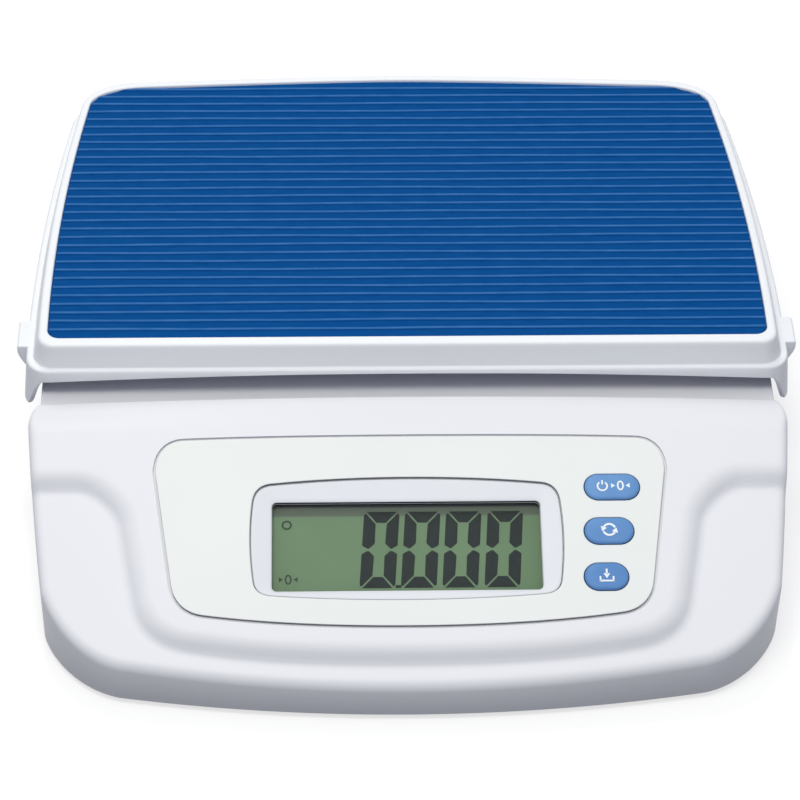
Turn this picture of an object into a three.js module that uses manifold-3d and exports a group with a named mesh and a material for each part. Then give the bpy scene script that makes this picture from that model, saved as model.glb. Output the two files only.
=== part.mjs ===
// Digital baby weighing scale: a low base with a sloping console in front and a ribbed platform behind.
// Millimetres, +Z up, front of the scale towards -Y, origin on the table below the middle of the scale.

import * as THREE from 'three';
import { mergeVertices } from 'three/addons/utils/BufferGeometryUtils.js';
import Module from 'manifold-3d';

const wasm = await Module();
wasm.setup();

// Sizes of the whole scale
const gap = 0.3;                    // clearance between two pieces that touch
const wall = 2.5;                   // plastic wall of the base
const overrun = 1;                  // how far a cutting tool runs past the face it cuts
const foot_height = 3;
const deck_height = 61;             // flat top of the base under the platform
const crease_height = 65;           // rear edge of the console, in the middle
const ledge_height = 75;            // ledge all round the platform
const overall_width = 330.8;        // over the ears
const overall_depth = 315.86;
const platform_depth = 187;
const console_side_inset = 1.3;     // the console is this much narrower than the platform, each side
const crease_gap = 4.9;             // from the platform's front line to the crease, in plan
const console_tilt = THREE.MathUtils.degToRad(17.2);

// Platform shell
const skirt_depth = 22;             // sides and back, below the ledge
const skirt_flare = 2;              // draft of the skirt at full depth
const skirt_wall = 2.2;
const lip_depth = 2;                // front lip, in the middle
const lip_growth = 4.4;             // how much deeper the front lip is at its ends
const lip_growth_power = 1.8;
const lip_drop = 5;                 // distance from the front in which the lip falls to the full skirt
const ledge_thickness = 1.8;
const ledge_round = 1.2;
const wall_foot_inset = 3.2;        // from the ledge's edge to the foot of the raised wall
const wall_foot_fillet = 0.6;
const wall_top_inset = 6.4;
const rim_width = 3.1;
const rim_height = 11.6;            // top of the rim above the ledge
const rim_round = 2;
const rim_chamfer = 0.6;
const pocket_depth = 2.5;           // mat pocket, below the rim
const pocket_floor = 3;             // thickness of plastic under the mat
const front_inset_share = 0.69;     // inset at the front and back, as a share of the inset at the side
const back_inset_share = 0.78;
const front_rim_share = 1.5;        // the rim's width in front, as a share of its width at the sides
const platform_taper = 11.1;        // how much each side draws in towards the back
const platform_front_radius = 10;
const platform_back_bow = 4.2;      // the back edge is this much further back in the middle
const side_length_share = 0.867;    // straight part of a side, of the platform's depth
const back_corner_share = 0.748;    // where the back corner ends, of the half width
const back_bend_share = 0.25;       // where the back edge's curve has its handle, of the corner's place
const taper_inset_share = 0.07;     // how much of an inset the taper gives up
const side_bow_share = 0.08;        // how far a side's curve has its handle outside it, of the taper
const lip_stations_share = [0.25, 0.53, 0.71, 0.84];
const quarter_arc_share = 0.5523;   // reach of a curve's handles that makes it a quarter circle
const corner_handle_share = 0.55;   // the same for the looser curve of a back corner
const round_middle_share = 0.29;    // how far the middle of a rounded edge is from its ends
const boss_radius = 6;
const boss_bore = 2.1;
const boss_bore_depth = 10;
const boss_half_spacing_x = 115;
const boss_half_spacing_y = 58;

// Ears at the front of the platform's sides
const ear_reach = 4.3;              // beyond the ledge
const ear_front = 15.8;             // behind the platform's front line
const ear_length = 15.6;
const ear_height = 11;
const ear_round = 1.2;
const ear_foot = 2.4;               // straight stretch of the ear's outer face
const ear_root = 3;                 // how far the ear reaches into the skirt

// Mat
const mat_thickness = 1;
const rib_height = 0.7;
const rib_pitch = 5.3;
const rib_foot = 1.9;
const rib_crest = 0.9;
const mat_margin = 3.6;             // flat border before the first rib

// Console top
const shelf_drop = 5.9;             // the lower shelf lies this far under the pad, square to both
const console_round = 3.8;
const rear_round_share = 0.3;       // how much of that rounding the crease has
const rear_round_run = 18;          // distance from the crease in which it grows to the full rounding
const step_convex_radius = 9.9;
const step_convex_width = 7.9;
const step_concave_radius = 4.95;
const step_concave_width = 3.95;
const step_convex_shares = [-1, -0.6, -0.28];
const step_concave_shares = [0, 0.45, 0.75];
const step_foot_share = 1.25;       // where the foot of the step ends, of the concave width
const step_dip = 0.4;               // how far the step's foot runs below the shelf
const step_reach = 12;              // the raised pad's solid runs this far past the console's sides and rear
const crown_drop = 3.4;             // the crease is this much lower at its ends
const crown_reach = 17;             // length over which the crown dies away down the slope
const crown_clearance = 0.03;       // keeps the crown's cut off the pad where it has no depth
const pad_skin = 3.2;

// Base under the platform
const neck_inset = 6;               // from the platform's ledge to the base's side wall
const neck_overlap = 1;             // how far the neck block reaches into the console block
const cavity_overlap = 6;

// Overlay, its recess and the display
const overlay_half_width = 105.9;
const overlay_height = 86;
const overlay_top = 19.7;           // from the crease, down the slope
const overlay_thickness = 1.4;
const overlay_recess = 1.2;
const overlay_groove = 1.15;
const eye_half_width = 64.5;
const eye_height = 54.8;
const eye_top = 39.1;
const display_shift = -2;           // the display is this much off the middle
const bezel_sink = 0.5;             // bezel's top below the pad plane
const bezel_flange = 3;
const bezel_flange_thickness = 1.2;
const window_width = 111;
const window_height = 40.2;
const window_top = 49.8;
const window_slope = 1.4;           // draft of the opening round the window, each side
const window_border = 3;
const window_thickness = 1.2;
const glass_thickness = 2.8;
const holder_wall = 3;
const strip_width = 3;
const strip_margin = 4;
const strip_length_share = 0.9;

// Circuit board
const board_depth = 13;             // its top, below the pad plane
const board_thickness = 1.6;
const board_left = -79;
const board_right = 106;
const board_top = 30;
const board_bottom = 100;
const board_boss_radius = 3.6;
const board_boss_bore = 1.6;
const board_screw_inset = 5;
const switch_size = 6;
const switch_height = 3.5;
const plunger_radius = 1.7;
const plunger_height = 0.8;
const buzzer_radius = 9;
const buzzer_height = 5;
const buzzer_share = { across: 0.184, down: 0.743 };  // where its middle lies on the board

// Buttons: their sizes, and where their middles lie on the overlay
const button_travel = 0.9;
const button_rise = 1.9;            // top of a button above the pad plane
const button_round = 1.4;
const button_clearance = 0.4;
const button_flange = 1.6;
const button_flange_thickness = 1.2;
const button_stem = 2.4;
const power_button = { width: 23.3, height: 12.1 };
const mode_button = { width: 20.8, height: 12.3 };
const memory_button = { width: 18.5, height: 12.5 };
const power_button_share = { across: 0.789, down: 0.283 };
const mode_button_share = { across: 0.7685, down: 0.517 };
const memory_button_share = { across: 0.749, down: 0.757 };

// Bottom cover, feet and cover screws: front ones as shares of the console, rear ones of the platform
const cover_thickness = 2.5;
const foot_radius = 9;
const foot_recess = 1.2;
const front_foot_share = { across: 0.7, down: 0.698 };
const rear_foot_share = { across: 0.7325, back: 0.8 };
const front_screw_share = { across: 0.8386, down: 0.347 };
const rear_screw_share = { across: 0.8256, back: 0.677 };
const boss_bite_share = 0.3;        // how far a cover boss reaches into the wall above it
const cover_boss_radius = 4;
const cover_boss_bore = 1.7;
const cover_boss_bore_depth = 12;
const small_screw = { head_radius: 3.1, head_height: 1.2, shaft_radius: 1.4, shaft_length: 9 };

// Load path: plate on the cover, spacers, load cell and spider frame
const plate_height = 20;
const plate_thickness = 4;
const plate_half_width = 88;
const plate_half_depth = 30;
const plate_boss_radius = 7;
const plate_screw_inset = 9;
const plate_screw = { head_radius: 4, head_height: 2.4, shaft_radius: 2, shaft_length: 11 };
const plate_bore_clearance = 0.3;
const cell_length = 130;
const cell_depth = 30;
const cell_height = 22;
const cell_end = 34;                // clamped length at each end
const cell_hole_radius = 8;
const cell_hole_spacing = 28;
const cell_slot = 4;
const lower_spacer_thickness = 2.4;
const frame_clearance = 3;          // from the deck up to the frame
const frame_thickness = 3;
const frame_hub_half_width = 74;
const frame_hub_half_depth = 24;
const frame_arm_width = 26;
const cell_bolt = { head_radius: 5, head_height: 4, shaft_radius: 3 };
const cell_bolt_grip = 9;           // how far each bolt reaches into the load cell
const cell_bolt_pitch = 18;
const spacer_opening_clearance = 3;
const stop_radius = 5;
const stop_height = 2.2;
const stop_half_spacing_x = 92;
const stop_half_spacing_y = 42;
const frame_screw = { head_radius: 4, head_height: 1.8, shaft_radius: 1.8, shaft_length: 12 };

// Battery bay
const cell_battery_radius = 7.15;
const cell_battery_length = 49.5;
const cell_battery_nub = { radius: 2.7, length: 1 };
const battery_count = 4;
const battery_pitch = 14.8;
const bay_middle_y = -1;
const bay_wall = 2;
const bay_end_room = 3.3;           // contact and clearance at each end of the batteries
const contact_thickness = 0.8;
const contact_bump = { radius: 2.6, length: 1.6 };
const door_thickness = 2;
const door_flange = 1.7;
const door_flange_thickness = 0.7;
const door_travel = 6;
const door_grip = { width: 22, depth: 1, pitch: 3, count: 3 };

// Inlet at the back
const jack_x = -88;
const jack_z = 24;
const jack_size = 12;
const jack_length = 13;
const jack_nose_radius = 4.6;
const jack_bore_radius = 2.9;
const jack_bore_depth = 9;
const jack_pin_radius = 1.05;
const jack_seat_inset = 11;         // the square body's end, in from the wall's outside
const jack_nose_inset = 1;          // the nose's end, in from there
const jack_pin_inset = 1;           // the pin's tip, in from the nose's end

// Leads inside the base
const cable_radius = 2;
const lead_radius = 1.3;
const battery_lead_x = 20;          // where the lead passes through the bay's front wall

// Heights and places worked out from the sizes
const rim_top = ledge_height + rim_height;
const pocket_z = rim_top - pocket_depth;
const ceiling_z = pocket_z - pocket_floor;
const ledge_under_z = ledge_height - ledge_thickness;
const cover_top = foot_height + cover_thickness;
const platform_half_width = overall_width / 2 - ear_reach;
const console_half_width = platform_half_width - console_side_inset;
const skirt_back_flare = skirt_flare * back_inset_share;
const platform_front_y = overall_depth / 2 - skirt_back_flare - platform_depth;
const crease_y = platform_front_y - crease_gap;
const console_depth = crease_y + overall_depth / 2;  // from the crease to the front wall, in plan
const platform_middle_y = platform_front_y + platform_depth / 2;
const slope_length = console_depth / Math.cos(console_tilt);
const neck_half_width = platform_half_width - neck_inset;
const frame_low = deck_height + frame_clearance;
const frame_top = frame_low + frame_thickness;
const cell_low = plate_height + plate_thickness + gap + lower_spacer_thickness + gap;
const cell_top = cell_low + cell_height;

const button_at = (name, size, share) => ({
  name, ...size, across: share.across * overlay_half_width, down: overlay_top + share.down * overlay_height,
});
const buttons = [
  button_at('button_power', power_button, power_button_share),
  button_at('button_mode', mode_button, mode_button_share),
  button_at('button_memory', memory_button, memory_button_share),
];

const on_front = (side, share) => ({
  x: side * share.across * console_half_width,
  y: crease_y - share.down * console_depth,
});
const on_rear = (side, share) => ({
  x: side * share.across * platform_half_width,
  y: platform_front_y + share.back * platform_depth,
});
const foot_places = [
  { name: 'foot_front_left', ...on_front(-1, front_foot_share) },
  { name: 'foot_front_right', ...on_front(1, front_foot_share) },
  { name: 'foot_rear_left', ...on_rear(-1, rear_foot_share) },
  { name: 'foot_rear_right', ...on_rear(1, rear_foot_share) },
];
const cover_screw_places = [
  on_front(-1, front_screw_share),
  on_front(1, front_screw_share),
  on_rear(-1, rear_screw_share),
  on_rear(1, rear_screw_share),
];

// Solids from three.js geometries and back
function solid(shape) {
  if (!(shape instanceof THREE.BufferGeometry)) return shape;
  const bare = shape.clone();
  bare.deleteAttribute('normal');
  bare.deleteAttribute('uv');
  const merged = mergeVertices(bare);
  const vertProperties = new Float32Array(merged.attributes.position.array);
  const triVerts = new Uint32Array(merged.index.array);
  return new wasm.Manifold(new wasm.Mesh({ numProp: 3, vertProperties, triVerts }));
}

function geometry(shape) {
  if (shape instanceof THREE.BufferGeometry) return shape;
  const mesh = shape.getMesh();
  const result = new THREE.BufferGeometry();
  result.setAttribute('position', new THREE.BufferAttribute(mesh.vertProperties, 3));
  result.setIndex(new THREE.BufferAttribute(mesh.triVerts, 1));
  result.computeVertexNormals();
  return result;
}

const join = (...shapes) => shapes.map(solid).reduce((a, b) => a.add(b));
const cut = (body, ...tools) => tools.map(solid).reduce((a, b) => a.subtract(b), solid(body));
const common = (a, b) => solid(a).intersect(solid(b));

// An outline without the points that lie on a straight line between their neighbours
function bends_of(outline) {
  return outline.filter((point, i) => {
    const come = point.clone().sub(outline.at(i - 1));
    const go = outline[(i + 1) % outline.length].clone().sub(point);
    return come.cross(go) !== 0;
  });
}

// Basic forms
function slab(outline, low, high) {
  const shape = new THREE.Shape(bends_of(outline));
  const form = new THREE.ExtrudeGeometry(shape, { depth: high - low, bevelEnabled: false });
  return form.translate(0, 0, low);
}

function block(x0, x1, y0, y1, z0, z1) {
  const form = new THREE.BoxGeometry(x1 - x0, y1 - y0, z1 - z0);
  return form.translate((x0 + x1) / 2, (y0 + y1) / 2, (z0 + z1) / 2);
}

function rod(radius, x, y, low, high, sides = 16) {
  const form = new THREE.CylinderGeometry(radius, radius, high - low, sides);
  return form.rotateX(Math.PI / 2).translate(x, y, (low + high) / 2);
}

function rod_along_y(radius, x, z, front, back, sides = 16) {
  const form = new THREE.CylinderGeometry(radius, radius, back - front, sides);
  return form.translate(x, (front + back) / 2, z);
}

const middle_of = (ring) => (
  ring.reduce((sum, point) => sum.add(point), new THREE.Vector3()).divideScalar(ring.length)
);

// A solid through rings of equally many points, closed by flat caps at the first and last ring
function loft(rings) {
  const count = rings[0].length;
  const positions = rings.flat().flatMap((point) => [point.x, point.y, point.z]);
  const faces = [];
  for (let ring = 0; ring + 1 < rings.length; ring += 1) {
    for (let i = 0; i < count; i += 1) {
      const next = (i + 1) % count;
      const [a, b] = [ring * count + i, ring * count + next];
      faces.push(a, b, b + count, a, b + count, a + count);
    }
  }
  const ends = [rings[0], rings.at(-1)];
  for (const ring of ends) positions.push(...middle_of(ring).toArray());
  const [low_middle, high_middle] = [rings.length * count, rings.length * count + 1];
  const last = (rings.length - 1) * count;
  for (let i = 0; i < count; i += 1) {
    const next = (i + 1) % count;
    faces.push(low_middle, next, i);
    faces.push(high_middle, last + i, last + next);
  }
  const form = new THREE.BufferGeometry();
  form.setAttribute('position', new THREE.Float32BufferAttribute(positions, 3));
  form.setIndex(faces);
  form.computeVertexNormals();
  return form;
}

// A full outline from its right half, which runs from the middle of the front to the middle of the back
function both_halves(half) {
  const mirrored = half.slice(1, -1).reverse().map((point) => new THREE.Vector2(-point.x, point.y));
  return [...half, ...mirrored];
}

// An anticlockwise outline moved inwards by a distance
function inset_outline(outline, distance) {
  return outline.map((point, i) => {
    const before = outline.at(i - 1);
    const after = outline[(i + 1) % outline.length];
    const come = point.clone().sub(before).normalize();
    const go = after.clone().sub(point).normalize();
    const inward = new THREE.Vector2(-come.y - go.y, come.x + go.x).normalize();
    const spread = inward.dot(new THREE.Vector2(-come.y, come.x));
    return point.clone().addScaledVector(inward, distance / spread);
  });
}

function arc(x, y, radius, start, end, steps) {
  return Array.from({ length: steps + 1 }, (unused, i) => {
    const angle = THREE.MathUtils.lerp(start, end, i / steps);
    return new THREE.Vector2(x + radius * Math.cos(angle), y + radius * Math.sin(angle));
  });
}

function stadium(width, height, middle_x, middle_y) {
  const radius = height / 2;
  const reach = width / 2 - radius;
  return [
    ...arc(middle_x + reach, middle_y, radius, -Math.PI / 2, Math.PI / 2, 8),
    ...arc(middle_x - reach, middle_y, radius, Math.PI / 2, 1.5 * Math.PI, 8),
  ];
}

function rounded_rectangle(x0, x1, y0, y1, radius) {
  return [
    ...arc(x1 - radius, y0 + radius, radius, -Math.PI / 2, 0, 3),
    ...arc(x1 - radius, y1 - radius, radius, 0, Math.PI / 2, 3),
    ...arc(x0 + radius, y1 - radius, radius, Math.PI / 2, Math.PI, 3),
    ...arc(x0 + radius, y0 + radius, radius, Math.PI, 1.5 * Math.PI, 3),
  ];
}

const at_height = (outline, height) => outline.map((point) => new THREE.Vector3(point.x, point.y, height));

// A screw with a flat head at its place and its shaft running up, or down when turned over
function screw(size, x, y, height, turned_over = false) {
  const profile = [
    new THREE.Vector2(0, 0),
    new THREE.Vector2(size.head_radius, 0),
    new THREE.Vector2(size.head_radius, size.head_height),
    new THREE.Vector2(size.shaft_radius, size.head_height),
    new THREE.Vector2(size.shaft_radius, size.head_height + size.shaft_length),
    new THREE.Vector2(0, size.head_height + size.shaft_length),
  ];
  const form = new THREE.LatheGeometry(profile, 8);
  return form.rotateX(turned_over ? -Math.PI / 2 : Math.PI / 2).translate(x, y, height);
}

function tube(points, radius, steps) {
  const section = new THREE.Shape(arc(0, 0, radius, 0, 2 * Math.PI, 8).slice(0, -1));
  const path = new THREE.CatmullRomCurve3(points.map(([x, y, z]) => new THREE.Vector3(x, y, z)));
  return new THREE.ExtrudeGeometry(section, { steps, extrudePath: path, bevelEnabled: false });
}

// The assembly, with the sloping console as a turned group
const scale = new THREE.Group();
const console_group = new THREE.Group();
console_group.position.set(0, crease_y, crease_height);
console_group.rotation.x = console_tilt;
console_group.updateMatrix();
scale.add(console_group);

function piece(name, shape, look, parent = scale) {
  const [color, roughness, metalness] = look;
  const mesh = new THREE.Mesh(geometry(shape), new THREE.MeshStandardMaterial({ color, roughness, metalness }));
  mesh.name = name;
  parent.add(mesh);
}

const white_plastic = ['#f1f3f6', 0.45, 0];
const face_plastic = ['#eef1f0', 0.35, 0];
const blue_rubber = ['#12498a', 0.8, 0];
const button_rubber = ['#5f96d7', 0.5, 0];
const dark_rubber = ['#2b2d30', 0.9, 0];
const clear_plastic = ['#dfe8df', 0.1, 0];
const display_glass = ['#73917a', 0.2, 0];
const board_green = ['#2e6b46', 0.6, 0];
const black_plastic = ['#26282b', 0.5, 0];
const aluminium = ['#b9bcc0', 0.45, 0.9];
const steel = ['#9fa3a8', 0.4, 0.9];
const battery_label = ['#c0a24a', 0.4, 0.2];
const cable_grey = ['#8e9298', 0.7, 0];

// Platform outlines: the inset is measured at the side, and a part of it may lie on the rim
function platform_outline(inset, rim_inset = 0) {
  const half = platform_half_width - inset - rim_inset;
  const front = platform_front_y + inset * front_inset_share + rim_inset * front_rim_share;
  const back = platform_front_y + platform_depth - inset * back_inset_share - rim_inset;
  const radius = platform_front_radius - (inset + rim_inset) / 2;
  const side_end = platform_front_y + platform_depth * side_length_share;
  const taper = platform_taper - taper_inset_share * (inset + rim_inset);
  const side_slope = 2 * taper * (1 + side_bow_share) / (side_end - front - radius);
  const corner = { x: platform_half_width * back_corner_share - rim_inset, y: back - platform_back_bow };
  const back_slope = platform_back_bow / ((1 - back_bend_share) * corner.x);
  const [run, rise] = [half - taper - corner.x, corner.y - side_end];
  const path = new THREE.Path();
  path.moveTo(0, front);
  for (const share of lip_stations_share) path.lineTo(platform_half_width * share, front);
  path.lineTo(half - radius, front);
  path.bezierCurveTo(
    half - radius * (1 - quarter_arc_share), front, half, front + radius * (1 - quarter_arc_share),
    half, front + radius,
  );
  const bow = side_bow_share * taper;
  path.quadraticCurveTo(half + bow, (front + radius + side_end) / 2, half - taper, side_end);
  const [run_handle, rise_handle] = [corner_handle_share * run, corner_handle_share * rise];
  path.bezierCurveTo(
    half - taper - rise_handle * side_slope, side_end + rise_handle,
    corner.x + run_handle, corner.y - run_handle * back_slope,
    corner.x, corner.y,
  );
  path.quadraticCurveTo(back_bend_share * corner.x, back, 0, back);
  return both_halves(path.getPoints(4));
}

// Depth of the platform's skirt below the ledge: a shallow lip in front, full depth at the sides and back
function skirt_depth_at(point) {
  const lip = lip_depth + lip_growth * (Math.abs(point.x) / platform_half_width) ** lip_growth_power;
  const fall = THREE.MathUtils.smoothstep(point.y, platform_front_y, platform_front_y + lip_drop);
  return THREE.MathUtils.lerp(lip, skirt_depth, fall);
}

function skirt_ring(inset) {
  const edge = platform_outline(0);
  const flared = platform_outline(inset - skirt_flare);
  return platform_outline(inset).map((point, i) => {
    const depth = skirt_depth_at(edge[i]);
    const place = point.lerp(flared[i], depth / skirt_depth);
    return new THREE.Vector3(place.x, place.y, ledge_height - depth);
  });
}

const platform_ring = (inset, rim_inset, height) => at_height(platform_outline(inset, rim_inset), height);

const frame_boss_places = [];
for (const side of [-1, 1]) {
  for (const end of [-1, 1]) {
    frame_boss_places.push({ x: side * boss_half_spacing_x, y: platform_middle_y + end * boss_half_spacing_y });
  }
}

function ear(side) {
  const outer = platform_half_width + ear_reach;
  const inner = platform_half_width - ear_root;
  const section = new THREE.Shape();
  section.moveTo(inner, ledge_height);
  section.lineTo(outer - ear_round, ledge_height);
  section.quadraticCurveTo(outer, ledge_height, outer, ledge_height - ear_round);
  section.lineTo(outer, ledge_height - ear_round - ear_foot);
  section.quadraticCurveTo(outer, ledge_height - ear_height, platform_half_width, ledge_height - ear_height);
  section.lineTo(inner, ledge_height - ear_height);
  const form = new THREE.ExtrudeGeometry(section, { depth: ear_length, bevelEnabled: false, curveSegments: 4 });
  form.rotateX(Math.PI / 2).translate(0, ear_length / 2, 0);
  if (side < 0) form.rotateZ(Math.PI);
  return form.translate(0, platform_front_y + ear_front + ear_length / 2, 0);
}

function platform_shell() {
  const chamfer_inset = rim_width - rim_chamfer;
  const skin = loft([
    platform_ring(wall_top_inset, rim_round, ceiling_z),
    platform_ring(wall_foot_inset + wall, 0, ledge_under_z),
    platform_ring(skirt_wall, 0, ledge_under_z),
    skirt_ring(skirt_wall),
    skirt_ring(0),
    platform_ring(0, 0, ledge_height - ledge_round),
    platform_ring(ledge_round / 3, 0, ledge_height - ledge_round / 3),
    platform_ring(ledge_round, 0, ledge_height),
    platform_ring(wall_foot_inset - wall_foot_fillet, 0, ledge_height),
    platform_ring(wall_foot_inset, 0, ledge_height + wall_foot_fillet),
    platform_ring(wall_top_inset - rim_round / 2, 0, rim_top - rim_round),
    platform_ring(wall_top_inset - rim_round / 8, 0, rim_top - rim_round / 4),
    platform_ring(wall_top_inset, rim_round / 3, rim_top),
    platform_ring(wall_top_inset, chamfer_inset, rim_top),
    platform_ring(wall_top_inset, rim_width, rim_top - rim_chamfer),
    platform_ring(wall_top_inset, rim_width, pocket_z),
  ]);
  const bosses = frame_boss_places.map(({ x, y }) => (
    rod(boss_radius, x, y, frame_top + gap, ceiling_z + overrun)
  ));
  const bores = frame_boss_places.map(({ x, y }) => (
    rod(boss_bore, x, y, frame_top, frame_top + gap + boss_bore_depth, 12)
  ));
  return cut(join(skin, ear(1), ear(-1), ...bosses), ...bores);
}

// Ribs run from side to side, on a thin sheet that fills the platform's pocket
function ribbed_mat() {
  const outline = platform_outline(wall_top_inset, rim_width + gap);
  const front = Math.min(...outline.map((point) => point.y));
  const back = Math.max(...outline.map((point) => point.y));
  const low = pocket_z + gap;
  const sheet = low + mat_thickness;
  const count = Math.floor((back - front - 2 * mat_margin) / rib_pitch) + 1;
  const first = (front + back - (count - 1) * rib_pitch) / 2;
  const section = new THREE.Shape();
  section.moveTo(front - overrun, low);
  section.lineTo(back + overrun, low);
  section.lineTo(back + overrun, sheet);
  for (let rib = count - 1; rib >= 0; rib -= 1) {
    const middle = first + rib * rib_pitch;
    section.lineTo(middle + rib_foot / 2, sheet);
    section.lineTo(middle + rib_crest / 2, sheet + rib_height);
    section.lineTo(middle - rib_crest / 2, sheet + rib_height);
    section.lineTo(middle - rib_foot / 2, sheet);
  }
  section.lineTo(front - overrun, sheet);
  const width = 2 * platform_half_width;
  const sheet_form = new THREE.ExtrudeGeometry(section, { depth: width, bevelEnabled: false });
  const turn = new THREE.Matrix4().makeBasis(
    new THREE.Vector3(0, 1, 0), new THREE.Vector3(0, 0, 1), new THREE.Vector3(1, 0, 0),
  );
  sheet_form.applyMatrix4(turn).translate(-width / 2, 0, 0);
  return common(sheet_form, slab(outline, pocket_z, rim_top));
}

// Spider frame: a hub over the load cell and four arms out to the platform's bosses
function cell_bolt_places(side) {
  const middle = side * (cell_length - cell_end) / 2;
  return [-1, 1].map((end) => ({ x: middle + end * cell_bolt_pitch / 2, y: platform_middle_y }));
}

function platform_frame() {
  const tip = frame_arm_width / 2;
  const [x, y] = [boss_half_spacing_x, boss_half_spacing_y];
  const [hub_x, hub_y] = [frame_hub_half_width, frame_hub_half_depth];
  const half = [
    new THREE.Vector2(0, -hub_y),
    new THREE.Vector2(hub_x - tip, -hub_y),
    new THREE.Vector2(x - tip, -y - tip),
    new THREE.Vector2(x + tip, -y - tip),
    new THREE.Vector2(x + tip, -y + tip),
    new THREE.Vector2(hub_x + tip, -tip / 2),
    new THREE.Vector2(hub_x + tip, tip / 2),
    new THREE.Vector2(x + tip, y - tip),
    new THREE.Vector2(x + tip, y + tip),
    new THREE.Vector2(x - tip, y + tip),
    new THREE.Vector2(hub_x - tip, hub_y),
    new THREE.Vector2(0, hub_y),
  ];
  const plate = slab(both_halves(half), frame_low, frame_top).translate(0, platform_middle_y, 0);
  const bolt_holes = cell_bolt_places(1).map((place) => (
    rod(cell_bolt.shaft_radius + gap, place.x, place.y, frame_low - overrun, frame_top + overrun, 12)
  ));
  const screw_holes = frame_boss_places.map((place) => (
    rod(frame_screw.shaft_radius + gap, place.x, place.y, frame_low - overrun, frame_top + overrun, 12)
  ));
  return cut(plate, ...bolt_holes, ...screw_holes);
}

function end_block(side, low, high) {
  const [inner, outer] = [cell_length / 2 - cell_end, cell_length / 2];
  const [x0, x1] = side > 0 ? [inner, outer] : [-outer, -inner];
  const half_depth = cell_depth / 2;
  const body = block(x0, x1, platform_middle_y - half_depth, platform_middle_y + half_depth, low, high);
  const holes = cell_bolt_places(side).map((place) => (
    rod(cell_bolt.shaft_radius + gap, place.x, place.y, low - overrun, high + overrun, 12)
  ));
  return cut(body, ...holes);
}

function load_cell() {
  const [half_length, half_depth] = [cell_length / 2, cell_depth / 2];
  const [front, back] = [platform_middle_y - half_depth, platform_middle_y + half_depth];
  const middle_z = (cell_low + cell_top) / 2;
  const body = block(-half_length, half_length, front, back, cell_low, cell_top);
  const flexure_holes = [-1, 1].map((side) => (
    rod_along_y(cell_hole_radius, side * cell_hole_spacing / 2, middle_z, front - overrun, back + overrun)
  ));
  const slot = block(
    -cell_hole_spacing / 2, cell_hole_spacing / 2, front - overrun, back + overrun,
    middle_z - cell_slot / 2, middle_z + cell_slot / 2,
  );
  const radius = cell_bolt.shaft_radius + gap;
  const lower_holes = cell_bolt_places(-1).map(({ x, y }) => (
    rod(radius, x, y, cell_low - overrun, middle_z, 12)
  ));
  const upper_holes = cell_bolt_places(1).map(({ x, y }) => (
    rod(radius, x, y, middle_z, cell_top + overrun, 12)
  ));
  return cut(body, ...flexure_holes, slot, ...lower_holes, ...upper_holes);
}

const plate_screw_places = [];
for (const side of [-1, 1]) {
  for (const end of [-1, 1]) {
    plate_screw_places.push({
      x: side * (plate_half_width - plate_screw_inset),
      y: platform_middle_y + end * (plate_half_depth - plate_screw_inset),
    });
  }
}

function base_plate() {
  const [front, back] = [platform_middle_y - plate_half_depth, platform_middle_y + plate_half_depth];
  const top = plate_height + plate_thickness;
  const body = block(-plate_half_width, plate_half_width, front, back, plate_height, top);
  const bolt_holes = cell_bolt_places(-1).map(({ x, y }) => (
    rod(cell_bolt.shaft_radius + gap, x, y, plate_height - overrun, top + overrun, 12)
  ));
  const screw_holes = plate_screw_places.map(({ x, y }) => (
    rod(plate_screw.shaft_radius + plate_bore_clearance, x, y, plate_height - overrun, top + overrun, 12)
  ));
  return cut(body, ...bolt_holes, ...screw_holes);
}

// Console outlines, as shares of its half width and of its depth behind the front wall
const rear_corner_share = { start: [0.967, 0], bend: [0.995, 0.01], end: [1, 0.085] };
const side_share = { bend: [0.984, 0.361], end: [0.954, 0.646] };
const front_corner_share = { leave: [0.931, 0.751], arrive: [0.853, 0.884], end: [0.751, 0.917] };
const front_share = { bend: [0.377, 1] };

function console_outline(inset = 0) {
  const at = ([across, down]) => [across * console_half_width, crease_y - down * console_depth];
  const path = new THREE.Path();
  path.moveTo(0, crease_y);
  path.lineTo(...at(rear_corner_share.start));
  path.quadraticCurveTo(...at(rear_corner_share.bend), ...at(rear_corner_share.end));
  path.quadraticCurveTo(...at(side_share.bend), ...at(side_share.end));
  path.bezierCurveTo(
    ...at(front_corner_share.leave), ...at(front_corner_share.arrive), ...at(front_corner_share.end),
  );
  path.quadraticCurveTo(...at(front_share.bend), ...at([0, 1]));
  return inset_outline(both_halves(path.getPoints(6).reverse()), inset);
}

// The raised pad's edge: full width behind, then in round the shoulders and down to a tongue in front
const shoulder_share = {
  start: [0.866, 0.311], leave: [0.816, 0.316], arrive: [0.754, 0.393], end: [0.746, 0.455],
};
const flank_share = { bend: [0.73, 0.578], end: [0.709, 0.709] };
const tongue_corner_share = { leave: [0.7, 0.794], arrive: [0.662, 0.852], end: [0.589, 0.875] };
const tongue_front_share = { bend: [0.371, 0.93], end: [0, 0.93] };

function pad_edge(inset) {
  const at = ([across, down]) => [across * console_half_width, -down * slope_length];
  const reach = console_half_width + step_reach;
  const path = new THREE.Path();
  path.moveTo(0, step_reach);
  path.lineTo(reach, step_reach);
  path.lineTo(reach, at(shoulder_share.start)[1]);
  path.lineTo(...at(shoulder_share.start));
  path.bezierCurveTo(...at(shoulder_share.leave), ...at(shoulder_share.arrive), ...at(shoulder_share.end));
  path.quadraticCurveTo(...at(flank_share.bend), ...at(flank_share.end));
  path.bezierCurveTo(
    ...at(tongue_corner_share.leave), ...at(tongue_corner_share.arrive), ...at(tongue_corner_share.end),
  );
  path.quadraticCurveTo(...at(tongue_front_share.bend), ...at(tongue_front_share.end));
  return inset_outline(both_halves(path.getPoints(6).reverse()), inset);
}

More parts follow.
